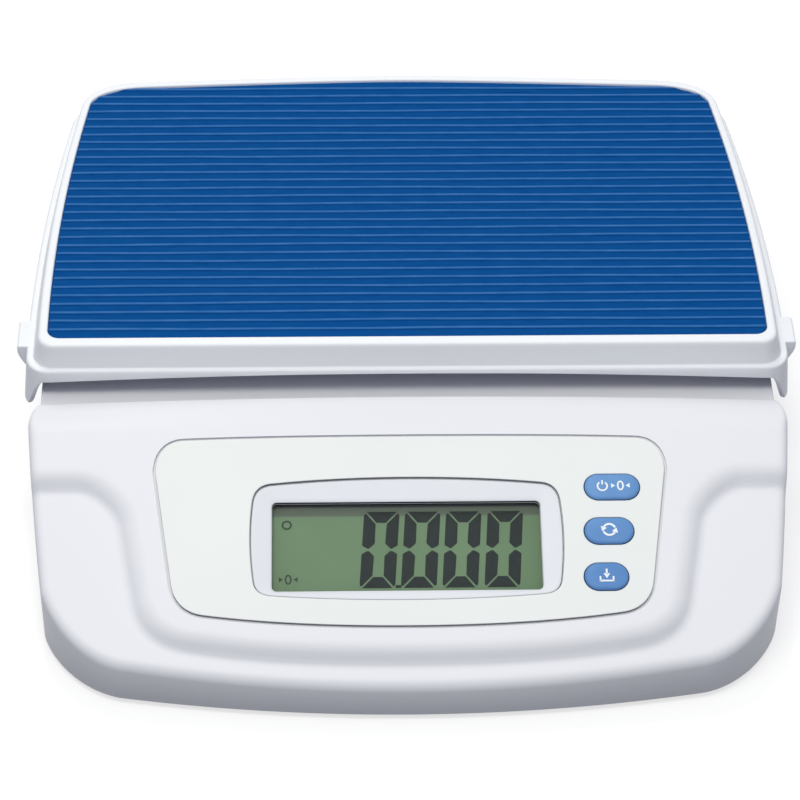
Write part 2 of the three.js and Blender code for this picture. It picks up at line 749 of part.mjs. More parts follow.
// Drop of the step below the pad at a distance from its steepest line, outwards counted positive
function step_drop(distance) {
  if (distance <= 0) {
    const along = step_convex_width + distance;
    return step_convex_radius - Math.sqrt(step_convex_radius ** 2 - along ** 2);
  }
  const along = step_concave_width - distance;
  return shelf_drop - step_concave_radius + Math.sqrt(step_concave_radius ** 2 - along ** 2);
}

// The step's last ring dips below the shelf, so that the foot of the step crosses the shelf at an angle
function step_solid() {
  const convex = step_convex_shares.map((share) => share * step_convex_width);
  const concave = step_concave_shares.map((share) => share * step_concave_width);
  const rings = [...convex, ...concave].map((distance) => at_height(pad_edge(-distance), -step_drop(distance)));
  const foot = pad_edge(-step_foot_share * step_concave_width);
  rings.push(at_height(foot, -shelf_drop - step_dip), at_height(foot, -console_depth));
  return on_console(loft(rings.reverse()));
}

const on_console = (form) => geometry(form).clone().applyMatrix4(console_group.matrix);
const slope_height = (y, offset) => (
  crease_height - (crease_y - y) * Math.tan(console_tilt) + offset / Math.cos(console_tilt)
);

// A block over the console's outline whose top lies parallel to the slope, with a rounded top edge
function sloped_block(inset, offset, round, low) {
  const edge = console_outline(inset);
  const ring = (extra, drop) => console_outline(inset + extra).map((inner, i) => {
    const full = THREE.MathUtils.smoothstep(crease_y - edge[i].y, 0, rear_round_run);
    const share = THREE.MathUtils.lerp(rear_round_share, 1, full);
    const point = edge[i].clone().lerp(inner, share);
    return new THREE.Vector3(point.x, point.y, slope_height(point.y, offset) - drop * share);
  });
  const rings = [at_height(edge, low), ring(0, round)];
  if (round > 0) rings.push(ring(round_middle_share * round, round_middle_share * round), ring(round, 0));
  return loft(rings);
}

// The console's rear edge sinks a little towards its ends: this is the space above that crown
function crown_tool() {
  const across = 10;
  const down = 4;
  const reach = console_half_width + step_reach;
  const height = step_reach;
  const top = [];
  for (let row = 0; row <= down; row += 1) {
    const fade = Math.cos((Math.PI / 2) * (row / down)) ** 2;
    const y = -crown_reach * (row / down);
    top.push([y, fade]);
  }
  const rings = top.map(([y, fade]) => {
    const ring = [];
    for (let i = 0; i <= across; i += 1) {
      const x = reach * (2 * i / across - 1);
      const sink = crown_drop * fade * (x / console_half_width) ** 2;
      ring.push(new THREE.Vector3(x, y, crown_clearance - sink));
    }
    ring.push(new THREE.Vector3(reach, y, height), new THREE.Vector3(-reach, y, height));
    return ring;
  });
  const behind = rings[0].map((point) => new THREE.Vector3(point.x, step_reach, point.z));
  return on_console(loft_along_y([behind, ...rings]));
}

// A loft whose rings stand upright, each at its own distance down the slope
function loft_along_y(rings) {
  const turn = new THREE.Matrix4().makeRotationX(Math.PI / 2);
  const back = turn.clone().invert();
  return loft(rings.map((ring) => ring.map((point) => point.clone().applyMatrix4(turn)))).applyMatrix4(back);
}

// The base under the platform, as a block with a given side inset and front line
function neck_block(inset, front, low, high) {
  const side = platform_half_width - inset;
  return join(
    slab(platform_outline(inset), low, high),
    block(-side, side, front, platform_front_y + platform_front_radius + inset, low, high),
  );
}

// Overlay, display eye and window outlines in the console's plane
const overlay_share = {
  top: { bend: [0.56, 0], end: [0.886, 0.015] },
  shoulder: { leave: [0.965, 0.017], arrive: [1, 0.087], end: [1, 0.191] },
  side: { bend: [0.965, 0.487], end: [0.931, 0.783] },
  foot: { leave: [0.92, 0.869], arrive: [0.877, 0.925], end: [0.809, 0.939] },
  bottom: { bend: [0.466, 1] },
};
const eye_share = {
  top: { bend: [0.46, 0], end: [0.873, 0.05] },
  shoulder: { leave: [0.945, 0.062], arrive: [0.975, 0.12], end: [0.983, 0.2] },
  side: { bend: [1.013, 0.52], end: [0.975, 0.85] },
  foot: { leave: [0.965, 0.92], arrive: [0.93, 0.95], end: [0.873, 0.96] },
  bottom: { bend: [0.46, 1] },
};

function face_outline(share, half_width, height, top, inset) {
  const at = ([across, down]) => [across * half_width, -top - down * height];
  const path = new THREE.Path();
  path.moveTo(...at([0, 0]));
  path.quadraticCurveTo(...at(share.top.bend), ...at(share.top.end));
  path.bezierCurveTo(...at(share.shoulder.leave), ...at(share.shoulder.arrive), ...at(share.shoulder.end));
  path.quadraticCurveTo(...at(share.side.bend), ...at(share.side.end));
  path.bezierCurveTo(...at(share.foot.leave), ...at(share.foot.arrive), ...at(share.foot.end));
  path.quadraticCurveTo(...at(share.bottom.bend), ...at([0, 1]));
  return inset_outline(both_halves(path.getPoints(5).reverse()), inset);
}

const shifted = (outline, x) => outline.map((point) => new THREE.Vector2(point.x + x, point.y));
const overlay_outline = (inset) => (
  face_outline(overlay_share, overlay_half_width, overlay_height, overlay_top, inset)
);
const eye_outline = (inset) => shifted(
  face_outline(eye_share, eye_half_width, eye_height, eye_top, inset), display_shift,
);
const window_outline = (grow) => rounded_rectangle(
  display_shift - window_width / 2 - grow, display_shift + window_width / 2 + grow,
  -window_top - window_height - grow, -window_top + grow, overlay_groove + window_slope,
);
const button_outline = ({ width, height, across, down }, grow) => (
  stadium(width + 2 * grow, height + 2 * grow, across, -down)
);

// Levels in the console's frame, counted up from the pad plane
const flange_top = -pad_skin - gap;
const bezel_low = flange_top - bezel_flange_thickness;
const window_high = bezel_low - gap;
const glass_high = window_high - window_thickness - gap;
const glass_low = glass_high - glass_thickness;
const board_high = -board_depth;
const board_low = board_high - board_thickness;
const switch_low = board_high + gap;
const board_screw_places = [board_left + board_screw_inset, board_right - board_screw_inset].map((x) => ({
  x, y: -(board_top + board_bottom) / 2,
}));

// Through-holes in the console's skin for the bezel and the buttons, and the recess for the overlay
function console_cuts() {
  const recess = slab(overlay_outline(-overlay_groove), -overlay_recess, overlay_thickness);
  const eye = slab(eye_outline(-gap), -board_depth, overlay_thickness);
  const holes = buttons.map((button) => (
    slab(button_outline(button, button_clearance), -board_depth, overlay_thickness)
  ));
  return [recess, eye, ...holes].map(on_console);
}

// The hollow inside: under the shelf, under the raised pad and under the deck
function base_cavity() {
  const low = foot_height - overrun;
  const pad_room = common(
    slab(pad_edge(step_convex_width), -slope_length, -pad_skin),
    block(-console_half_width, console_half_width, -slope_length, -crown_reach, -slope_length, 0),
  );
  return join(
    sloped_block(wall, -shelf_drop - wall, 0, low),
    common(slab(console_outline(wall), cover_top, crease_height), on_console(pad_room)),
    neck_block(neck_inset + wall, crease_y - cavity_overlap, low, deck_height - wall),
  );
}

const jack_wall_y = platform_front_y + platform_depth - neck_inset * back_inset_share;
const jack_front_y = jack_wall_y - jack_seat_inset - jack_length;

function base_housing() {
  const outer = join(
    sloped_block(0, -shelf_drop, console_round, foot_height),
    common(sloped_block(0, 0, console_round, foot_height), step_solid()),
    neck_block(neck_inset, crease_y - neck_overlap, foot_height, deck_height),
  );
  const shell = cut(cut(outer, crown_tool()), base_cavity());
  const bite = (1 - boss_bite_share) * wall;
  const screw_bosses = cover_screw_places.map(({ x, y }) => {
    const boss_top = y < crease_y ? slope_height(y, -shelf_drop - bite) : deck_height - bite;
    return rod(cover_boss_radius, x, y, cover_top + gap, boss_top);
  });
  const screw_bores = cover_screw_places.map(({ x, y }) => (
    rod(cover_boss_bore, x, y, cover_top, cover_top + cover_boss_bore_depth, 12)
  ));
  const board_bosses = board_screw_places.map(({ x, y }) => (
    on_console(rod(board_boss_radius, x, y, board_high + gap, -pad_skin + gap))
  ));
  const board_bores = board_screw_places.map(({ x, y }) => (
    on_console(rod(board_boss_bore, x, y, board_high, -pad_skin - overrun, 12))
  ));
  const spacer_reach = cell_depth / 2 + spacer_opening_clearance;
  const spacer_opening = block(
    cell_length / 2 - cell_end - spacer_opening_clearance, cell_length / 2 + spacer_opening_clearance,
    platform_middle_y - spacer_reach, platform_middle_y + spacer_reach,
    deck_height - wall - overrun, deck_height + overrun,
  );
  const jack_hole = rod_along_y(
    jack_nose_radius + button_clearance, jack_x, jack_z, jack_front_y, jack_wall_y + platform_back_bow,
  );
  return cut(
    join(shell, ...screw_bosses, ...board_bosses),
    ...screw_bores, ...board_bores, ...console_cuts(), spacer_opening, jack_hole,
  );
}

// Battery bay in the bottom cover: batteries side by side, their axes along Y, over the sliding door
const bay_half_width = (battery_count * battery_pitch) / 2 + gap;
const bay_half_length = cell_battery_length / 2 + bay_end_room;
const bay_front_y = bay_middle_y - bay_half_length;
const bay_back_y = bay_middle_y + bay_half_length;
const door_top = foot_height + door_thickness;
const battery_z = door_top + gap + cell_battery_radius;
const bay_roof_z = battery_z + cell_battery_radius + gap;
const battery_places = Array.from({ length: battery_count }, (unused, i) => (
  (i - (battery_count - 1) / 2) * battery_pitch
));

function bottom_cover() {
  const inset = wall + gap;
  const low = foot_height;
  const plate = join(
    slab(console_outline(inset), low, cover_top),
    neck_block(neck_inset + inset, crease_y - cavity_overlap, low, cover_top),
  );
  const bay_box = block(
    -bay_half_width - bay_wall, bay_half_width + bay_wall, bay_front_y - door_travel - bay_wall,
    bay_back_y + bay_wall, low, bay_roof_z + bay_wall,
  );
  const front_block = block(
    -bay_half_width - bay_wall - overrun, bay_half_width + bay_wall + overrun,
    bay_front_y - door_travel - bay_wall - overrun, bay_front_y - bay_wall,
    door_top + gap + bay_wall, bay_roof_z + bay_wall + overrun,
  );
  const bay = block(-bay_half_width, bay_half_width, bay_front_y, bay_back_y, low - overrun, bay_roof_z);
  const flange_z = door_top - door_flange_thickness - gap;
  const door_room = block(
    -bay_half_width, bay_half_width, bay_front_y - door_travel, bay_back_y, flange_z, door_top + gap,
  );
  const slot = block(
    door_flange - bay_half_width, bay_half_width - door_flange, bay_front_y - door_travel, bay_back_y,
    low - overrun, door_top,
  );
  const lips = [-1, 1].map((side) => block(
    side > 0 ? bay_half_width - door_flange : -bay_half_width - gap,
    side > 0 ? bay_half_width + gap : door_flange - bay_half_width,
    bay_front_y - gap, bay_back_y + gap, low, flange_z,
  ));
  const plate_bosses = plate_screw_places.map(({ x, y }) => (
    rod(plate_boss_radius, x, y, cover_top - gap, plate_height - gap)
  ));
  const plate_bores = plate_screw_places.map(({ x, y }) => (
    rod(plate_screw.shaft_radius + gap, x, y, plate_height - gap - plate_screw.shaft_length, plate_height, 12)
  ));
  const foot_recesses = foot_places.map(({ x, y }) => (
    rod(foot_radius + gap, x, y, low - overrun, low + foot_recess, 24)
  ));
  const screw_seats = cover_screw_places.map(({ x, y }) => (
    rod(small_screw.head_radius + gap, x, y, low - overrun, low + small_screw.head_height + gap)
  ));
  const screw_holes = cover_screw_places.map(({ x, y }) => (
    rod(small_screw.shaft_radius + gap, x, y, low, cover_top + overrun, 12)
  ));
  const lead_hole = rod_along_y(
    lead_radius + gap, battery_lead_x, battery_z, bay_front_y - bay_wall - overrun, bay_front_y + overrun, 12,
  );
  const hollowed = cut(cut(join(plate, bay_box), front_block), bay, door_room, slot, lead_hole);
  return cut(
    join(hollowed, ...lips, ...plate_bosses), ...plate_bores, ...foot_recesses, ...screw_seats, ...screw_holes,
  );
}

function battery_door() {
  const half_width = bay_half_width - door_flange - gap;
  const [front, back] = [bay_front_y + gap, bay_back_y - gap];
  const plate = block(-half_width, half_width, front, back, foot_height, door_top);
  const flange = block(
    -bay_half_width + gap, bay_half_width - gap, front, back, door_top - door_flange_thickness, door_top,
  );
  const grooves = Array.from({ length: door_grip.count }, (unused, i) => block(
    -door_grip.width / 2, door_grip.width / 2,
    front + door_grip.pitch * (i + 1), front + door_grip.pitch * (i + 1.5),
    foot_height - overrun, foot_height + door_grip.depth,
  ));
  return cut(join(plate, flange), ...grooves);
}

function battery(x, turned) {
  const [radius, length] = [cell_battery_radius, cell_battery_length];
  const body_length = length - cell_battery_nub.length;
  const profile = [
    new THREE.Vector2(0, -length / 2),
    new THREE.Vector2(radius, -length / 2),
    new THREE.Vector2(radius, body_length - length / 2),
    new THREE.Vector2(cell_battery_nub.radius, body_length - length / 2),
    new THREE.Vector2(cell_battery_nub.radius, length / 2),
    new THREE.Vector2(0, length / 2),
  ];
  const form = new THREE.LatheGeometry(profile, 12);
  if (turned) form.rotateX(Math.PI);
  return form.translate(x, bay_middle_y, battery_z);
}

// A contact plate across one end of the bay, with a spring cone against each battery
function battery_contacts(end) {
  const face = end > 0 ? bay_back_y - gap : bay_front_y + gap;
  const inner = face - end * contact_thickness;
  const half_width = bay_half_width - gap;
  const half_height = cell_battery_radius - gap;
  const plate = block(
    -half_width, half_width, Math.min(face, inner), Math.max(face, inner),
    battery_z - half_height, battery_z + half_height,
  );
  const tip = inner - end * contact_bump.length;
  const bumps = battery_places.map((x) => (
    rod_along_y(contact_bump.radius, x, battery_z, Math.min(tip, face), Math.max(tip, face), 12)
  ));
  return join(plate, ...bumps);
}

function dc_jack() {
  const half = jack_size / 2;
  const back = jack_front_y + jack_length;
  const body = block(jack_x - half, jack_x + half, jack_front_y, back, cover_top + gap, jack_z + half);
  const nose_end = jack_wall_y - jack_nose_inset;
  const bore_end = nose_end - jack_bore_depth;
  const nose = rod_along_y(jack_nose_radius, jack_x, jack_z, back - overrun, nose_end);
  const bore = rod_along_y(jack_bore_radius, jack_x, jack_z, bore_end, nose_end + overrun, 12);
  const pin = rod_along_y(jack_pin_radius, jack_x, jack_z, bore_end - overrun, nose_end - jack_pin_inset, 8);
  return join(cut(join(body, nose), bore), pin);
}

// Console pieces, in the console's frame
function overlay_plate() {
  const plate = slab(overlay_outline(0), gap - overlay_recess, overlay_thickness + gap - overlay_recess);
  const eye = slab(eye_outline(-gap), -overlay_recess, overlay_thickness);
  const holes = buttons.map((button) => (
    slab(button_outline(button, button_clearance), -overlay_recess, overlay_thickness)
  ));
  return cut(plate, eye, ...holes);
}

function display_bezel() {
  const body = slab(eye_outline(0), bezel_low, -bezel_sink);
  const flange = slab(eye_outline(-bezel_flange), bezel_low, flange_top);
  const opening = loft([
    at_height(window_outline(-window_slope), bezel_low - overrun),
    at_height(window_outline(-window_slope / 2), bezel_low),
    at_height(window_outline(window_slope), -bezel_sink + overrun),
  ]);
  return cut(join(body, flange), opening);
}

function display_box(grow, low, high) {
  const half = window_width / 2 + grow;
  return block(
    display_shift - half, display_shift + half,
    -window_top - window_height - grow, grow - window_top, low, high,
  );
}

function display_holder() {
  const frame = display_box(window_border + holder_wall, switch_low, glass_high);
  const seat = display_box(window_border + gap, glass_low - gap, glass_high + overrun);
  const well = display_box(-overrun, switch_low - overrun, glass_high);
  return cut(frame, seat, well);
}

function contact_strip(end) {
  const middle = -window_top - window_height / 2 + end * (window_height / 2 - strip_margin);
  const half = strip_length_share * window_width / 2;
  return block(
    display_shift - half, display_shift + half, middle - strip_width / 2, middle + strip_width / 2,
    switch_low, glass_low - gap,
  );
}

function main_board() {
  const plate = block(board_left, board_right, -board_bottom, -board_top, board_low, board_high);
  const holes = board_screw_places.map(({ x, y }) => (
    rod(board_boss_bore, x, y, board_low - overrun, board_high + overrun, 12)
  ));
  return cut(plate, ...holes);
}

function tact_switch({ across, down }) {
  const half = switch_size / 2;
  const top = switch_low + switch_height;
  return join(
    block(across - half, across + half, -down - half, -down + half, switch_low, top),
    rod(plunger_radius, across, -down, top - overrun, top + plunger_height, 12),
  );
}

function push_button(button) {
  const plunger_top = switch_low + switch_height + plunger_height;
  const stem_low = plunger_top + button_travel + gap;
  const flange_low = flange_top - button_flange_thickness;
  const rounding = round_middle_share * button_round;
  const cap = loft([
    at_height(button_outline(button, 0), flange_low),
    at_height(button_outline(button, 0), button_rise - button_round),
    at_height(button_outline(button, -rounding), button_rise - rounding),
    at_height(button_outline(button, -button_round), button_rise),
  ]);
  const flange = slab(button_outline(button, button_flange), flange_low, flange_top);
  const stem = rod(button_stem, button.across, -button.down, stem_low, flange_top, 12);
  return join(cap, flange, stem);
}

// Pieces that stand on the table with the base
piece('base_housing', base_housing(), white_plastic);
piece('bottom_cover', bottom_cover(), white_plastic);
for (const { name, x, y } of foot_places) {
  piece(name, rod(foot_radius, x, y, 0, foot_height + foot_recess - gap, 24), dark_rubber);
}
cover_screw_places.forEach(({ x, y }, i) => {
  piece(`cover_screw_${i + 1}`, screw(small_screw, x, y, foot_height), steel);
});
piece('base_plate', base_plate(), steel);
plate_screw_places.forEach(({ x, y }, i) => {
  const top = plate_height + plate_thickness + gap + plate_screw.head_height;
  piece(`base_plate_screw_${i + 1}`, screw(plate_screw, x, y, top, true), steel);
});
piece('lower_spacer', end_block(-1, plate_height + plate_thickness + gap, cell_low - gap), aluminium);
piece('load_cell', load_cell(), aluminium);
cell_bolt_places(-1).forEach(({ x, y }, i) => {
  const seat = plate_height - gap;
  const bolt = { ...cell_bolt, shaft_length: cell_low + cell_bolt_grip - seat };
  piece(`load_cell_bolt_lower_${i + 1}`, screw(bolt, x, y, seat - cell_bolt.head_height), steel);
});
let stop_number = 0;
for (const side of [-1, 1]) {
  for (const end of [-1, 1]) {
    stop_number += 1;
    const [x, y] = [side * stop_half_spacing_x, platform_middle_y + end * stop_half_spacing_y];
    const low = deck_height + gap;
    piece(`overload_stop_${stop_number}`, rod(stop_radius, x, y, low, low + stop_height), dark_rubber);
  }
}

// Batteries, contacts, door, inlet and leads
battery_places.forEach((x, i) => piece(`battery_${i + 1}`, battery(x, i % 2 === 1), battery_label));
piece('battery_contacts_front', battery_contacts(-1), steel);
piece('battery_contacts_rear', battery_contacts(1), steel);
piece('battery_door', battery_door(), white_plastic);
piece('dc_jack', dc_jack(), black_plastic);
const load_cell_cable_route = [
  [-40, 47.57, 38], [-40, 41, 38], [-44, 16, 35], [-52, -20, 28], [-58, -46, 23.5], [-60, -60, 25],
  [-60, -66.2, 31], [-60, -69.33, 38.94],
];
const battery_lead_route = [
  [20, -28.95, 12.45], [20, -38, 12.6], [21.5, -52, 15.5], [23.5, -64, 21], [25, -71, 29], [25, -74.11, 37.46],
];
piece('load_cell_cable', tube(load_cell_cable_route, cable_radius, 24), cable_grey);
piece('battery_lead', tube(battery_lead_route, lead_radius, 16), cable_grey);

// Console: everything that lies parallel to the slope
piece('overlay_plate', overlay_plate(), face_plastic, console_group);
piece('display_bezel', display_bezel(), face_plastic, console_group);
piece('display_window', display_box(window_border, window_high - window_thickness, window_high), clear_plastic,
  console_group);
piece('display_glass', display_box(window_border, glass_low, glass_high), display_glass, console_group);
piece('display_holder', display_holder(), white_plastic, console_group);
piece('contact_strip_upper', contact_strip(1), dark_rubber, console_group);
piece('contact_strip_lower', contact_strip(-1), dark_rubber, console_group);
piece('main_board', main_board(), board_green, console_group);
board_screw_places.forEach(({ x, y }, i) => {
  const low = board_low - gap - small_screw.head_height;
  piece(`board_screw_${i + 1}`, screw(small_screw, x, y, low), steel, console_group);
});
const buzzer_top = board_low - gap;
piece('buzzer', rod(
  buzzer_radius, THREE.MathUtils.lerp(board_left, board_right, buzzer_share.across),
  -THREE.MathUtils.lerp(board_top, board_bottom, buzzer_share.down), buzzer_top - buzzer_height, buzzer_top,
), black_plastic, console_group);
for (const button of buttons) {
  piece(`switch_${button.name.replace('button_', '')}`, tact_switch(button), black_plastic, console_group);
  piece(button.name, push_button(button), button_rubber, console_group);
}

// Pieces that move with the platform
piece('platform_shell', platform_shell(), white_plastic);
piece('ribbed_mat', ribbed_mat(), blue_rubber);
piece('platform_frame', platform_frame(), aluminium);
piece('upper_spacer', end_block(1, cell_top + gap, frame_low - gap), aluminium);
cell_bolt_places(1).forEach(({ x, y }, i) => {
  const seat = frame_top + gap;
  const bolt = { ...cell_bolt, shaft_length: seat - cell_top + cell_bolt_grip };
  piece(`load_cell_bolt_upper_${i + 1}`, screw(bolt, x, y, seat + cell_bolt.head_height, true), steel);
});
frame_boss_places.forEach(({ x, y }, i) => {
  const low = frame_low - gap - frame_screw.head_height;
  piece(`frame_screw_${i + 1}`, screw(frame_screw, x, y, low), steel);
});

export default scale;
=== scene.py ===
"""Looks of the digital baby weighing scale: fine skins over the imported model, materials, light and camera."""
import math

import bpy
import numpy as np
from mathutils import Matrix, Vector
from mathutils.geometry import delaunay_2d_cdt


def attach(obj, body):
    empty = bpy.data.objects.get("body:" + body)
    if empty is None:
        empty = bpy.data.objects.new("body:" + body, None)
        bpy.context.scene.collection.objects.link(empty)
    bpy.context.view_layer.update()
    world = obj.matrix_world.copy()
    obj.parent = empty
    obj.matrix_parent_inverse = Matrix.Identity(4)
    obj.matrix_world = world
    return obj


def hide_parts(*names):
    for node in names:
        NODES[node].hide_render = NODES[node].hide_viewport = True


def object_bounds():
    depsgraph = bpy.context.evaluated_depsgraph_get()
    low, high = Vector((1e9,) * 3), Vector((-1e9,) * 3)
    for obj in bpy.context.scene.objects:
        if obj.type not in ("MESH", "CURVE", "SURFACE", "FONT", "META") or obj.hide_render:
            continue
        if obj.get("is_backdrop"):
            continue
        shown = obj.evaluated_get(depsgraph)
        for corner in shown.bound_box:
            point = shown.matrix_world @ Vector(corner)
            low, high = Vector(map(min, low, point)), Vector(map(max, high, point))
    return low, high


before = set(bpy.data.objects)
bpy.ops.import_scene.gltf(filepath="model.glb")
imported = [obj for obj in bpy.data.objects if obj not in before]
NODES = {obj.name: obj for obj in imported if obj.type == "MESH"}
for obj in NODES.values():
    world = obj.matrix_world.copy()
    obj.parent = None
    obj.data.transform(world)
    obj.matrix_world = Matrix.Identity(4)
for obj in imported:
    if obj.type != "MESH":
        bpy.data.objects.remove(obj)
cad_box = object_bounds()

MM = 0.001

# Sizes in millimetres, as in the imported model
GAP = 0.3
WALL = 2.5
DEPTH = 315.86
PLATFORM_HALF, CONSOLE_HALF = 161.1, 159.8      # half widths
PLATFORM_DEPTH = 187.0
FRONT_INSET, BACK_INSET = 0.69, 0.78    # how far the front and back edges move in per millimetre at the sides
PLATFORM_FRONT = DEPTH / 2 - 2 * BACK_INSET - PLATFORM_DEPTH
PLATFORM_BACK = PLATFORM_FRONT + PLATFORM_DEPTH
CREASE_Y = PLATFORM_FRONT - 4.9
CREASE_HEIGHT = 65.0
CONSOLE_DEPTH = CREASE_Y + DEPTH / 2
TILT = math.radians(17.2)
SINE, COSINE = math.sin(TILT), math.cos(TILT)
SLOPE_LENGTH = CONSOLE_DEPTH / COSINE
LEDGE = 75.0
RIM_TOP = 86.6
POCKET = 84.1
CEILING = 81.1
DECK = 61.0
FOOT_HEIGHT = 3.0
COVER_TOP = 5.5
FRAME_TOP = 67.0
SKIRT = 22.0
SKIRT_FLARE = 2.0
RIM_LEVEL = 6.4         # the raised wall's inset where it meets the rim
NECK_LEVEL = 6.0        # the neck's inset from the platform's edge
SHELF_DROP = 5.9        # the shelf's depth below the console's pad
PAD_INSET = 7.9         # from the step's upper edge to the flat of the pad
OVERLAY_HALF, OVERLAY_HEIGHT, OVERLAY_TOP = 105.9, 86.0, 19.7
RIB_PITCH = 5.3
FLANGE_LOW, FLANGE_TOP = -4.7, -3.5     # of the bezel's and the buttons' flanges, from the pad's surface
DISPLAY_LOW, DISPLAY_HIGH = -6.5, -6.4
PLATFORM_MIDDLE = PLATFORM_FRONT + PLATFORM_DEPTH / 2
FRONT_STEPS = 36        # stretches of half the platform's straight front edge
QUARTER = 0.5523        # handle length of a quarter circle, as a share of its radius


# Outlines: closed lists of points, anticlockwise seen from above
def bezier(handles, steps):
    points = []
    for i in range(1, steps + 1):
        level = [np.array(handle, float) for handle in handles]
        while len(level) > 1:
            level = [a + (b - a) * (i / steps) for a, b in zip(level, level[1:])]
        points.append(level[0])
    return points


def trace(start, segments, steps):
    path = [np.array(start, float)]
    for handles in segments:
        path += bezier([path[-1], *handles], steps if len(handles) > 1 else 1)
    return np.array(path)


def both_halves(half):
    """The half with its mirror image across the middle of the scale."""
    return np.vstack([half, half[1:-1][::-1] * [-1, 1]])


def unit(vectors):
    return vectors / np.linalg.norm(vectors, axis=1, keepdims=True)


def inset(outline, distance):
    come = unit(outline - np.roll(outline, 1, axis=0))
    left = np.column_stack([-come[:, 1], come[:, 0]])
    inward = unit(left + np.roll(left, -1, axis=0))
    spread = (inward * left).sum(axis=1)
    return outline + inward * (distance / np.maximum(spread, 0.3))[:, None]


def even_steps(outline, step):
    """The outline with its straight stretches split, so that no stretch is longer than the step."""
    points = []
    for a, b in zip(outline, np.roll(outline, -1, axis=0)):
        count = max(1, math.ceil(np.linalg.norm(b - a) / step))
        points += [a + (b - a) * i / count for i in range(count)]
    return np.array(points)


def at_height(outline, height):
    return np.column_stack([outline, np.broadcast_to(height, len(outline))])


def smoothstep(value, low, high):
    t = np.clip((np.asarray(value, float) - low) / (high - low), 0, 1)
    return t * t * (3 - 2 * t)


def arc(x, y, radius, start, end, steps):
    turn = np.radians(np.linspace(start, end, steps + 1))
    return np.column_stack([x + radius * np.cos(turn), y + radius * np.sin(turn)])


def stadium(width, height, x, y, steps):
    radius, reach = height / 2, (width - height) / 2
    return np.vstack([arc(x + reach, y, radius, -90, 90, steps), arc(x - reach, y, radius, 90, 270, steps)])


def circle(x, y, radius, steps=48):
    return arc(x, y, radius, 0, 360, steps)[:-1]


def rounded_box(x0, x1, y0, y1, radius, steps=8):
    x0, x1, y0, y1 = x0 + radius, x1 - radius, y0 + radius, y1 - radius
    corners = [(x1, y0, -90), (x1, y1, 0), (x0, y1, 90), (x0, y0, 180)]
    return np.vstack([arc(x, y, radius, start, start + 90, steps) for x, y, start in corners])


def lattice(across, along):
    """Points of a grid, from the start, end and step of each direction."""
    return np.stack(np.meshgrid(np.arange(*across), np.arange(*along)), -1).reshape(-1, 2)


def distance_to(points, loop):
    """Distance of each point to a closed loop, positive inside."""
    a, b = loop, np.roll(loop, -1, axis=0)
    along = b - a
    length2 = (along ** 2).sum(axis=1)
    result = np.empty(len(points))
    for start in range(0, len(points), 2000):
        p = points[start:start + 2000, None, :]
        t = np.clip(((p - a) * along).sum(axis=2) / length2, 0, 1)
        near = np.sqrt((((a + along * t[..., None]) - p) ** 2).sum(axis=2).min(axis=1))
        crosses = (a[:, 1] > p[..., 1]) != (b[:, 1] > p[..., 1])
        with np.errstate(divide="ignore", invalid="ignore"):
            x = a[:, 0] + (p[..., 1] - a[:, 1]) / along[:, 1] * along[:, 0]
        inside = (crosses & (p[..., 0] < x)).sum(axis=1) % 2 == 1
        result[start:start + 2000] = np.where(inside, near, -near)
    return result


# Meshes: a form is a list of points and a list of faces
def band(below, above, count):
    """Faces between two rings of points, each given by the number of its first point."""
    return [(below + i, below + (i + 1) % count, above + (i + 1) % count, above + i) for i in range(count)]


def loft(rings):
    """A closed form through the rings, from the lowest to the highest, with a fan over each end."""
    count, low, high = len(rings[0]), len(rings) * len(rings[0]), len(rings) * len(rings[0]) + 1
    faces = []
    for ring in range(len(rings) - 1):
        faces += band(ring * count, (ring + 1) * count, count)
    faces += [(low, b, a) for a, b, _, _ in band(0, 0, count)]
    faces += [(high, a, b) for a, b, _, _ in band(low - count, 0, count)]
    return np.vstack([*rings, rings[0].mean(axis=0), rings[-1].mean(axis=0)]), faces


def joined(*forms):
    points, faces, start = [], [], 0
    for part_points, part_faces in forms:
        points.append(part_points)
        faces += [tuple(i + start for i in face) for face in part_faces]
        start += len(part_points)
    return np.vstack(points), faces


def slab(outline, low, high):
    return loft([at_height(outline, low), at_height(outline, high)])


def rounding(radius, steps):
    """Steps of a quarter round from a wall to a level top: how far inside the wall and below the top."""
    turn = np.linspace(0, math.pi / 2, steps + 1)
    return list(zip(radius * (1 - np.cos(turn)), radius * (1 - np.sin(turn))))


def rounded_slab(outline, low, high, radius, steps, low_radius):
    """A slab with both its edges rounded."""
    rings = [at_height(inset(outline, inward), low + up) for inward, up in rounding(low_radius, steps)[::-1]]
    rings += [at_height(inset(outline, inward), high - down) for inward, down in rounding(radius, steps)]
    return loft(rings)


def block(x0, x1, y0, y1, z0, z1):
    return slab(np.array([(x0, y0), (x1, y0), (x1, y1), (x0, y1)], float), z0, z1)


def rod(radius, x, y, low, high, steps=32):
    return slab(circle(x, y, radius, steps), low, high)


def lathe(profile, x, y, steps=48):
    """A turned form about an upright axis: its profile runs up from (radius, height) to (radius, height)."""
    return loft([at_height(circle(x, y, max(radius, 0.01), steps), height) for radius, height in profile])


def along_y(form, x, z):
    """Lays a form built about the upright axis along +Y, its axis through x and z."""
    points, faces = form
    return np.column_stack([points[:, 0] + x, points[:, 2], z - points[:, 1]]), faces


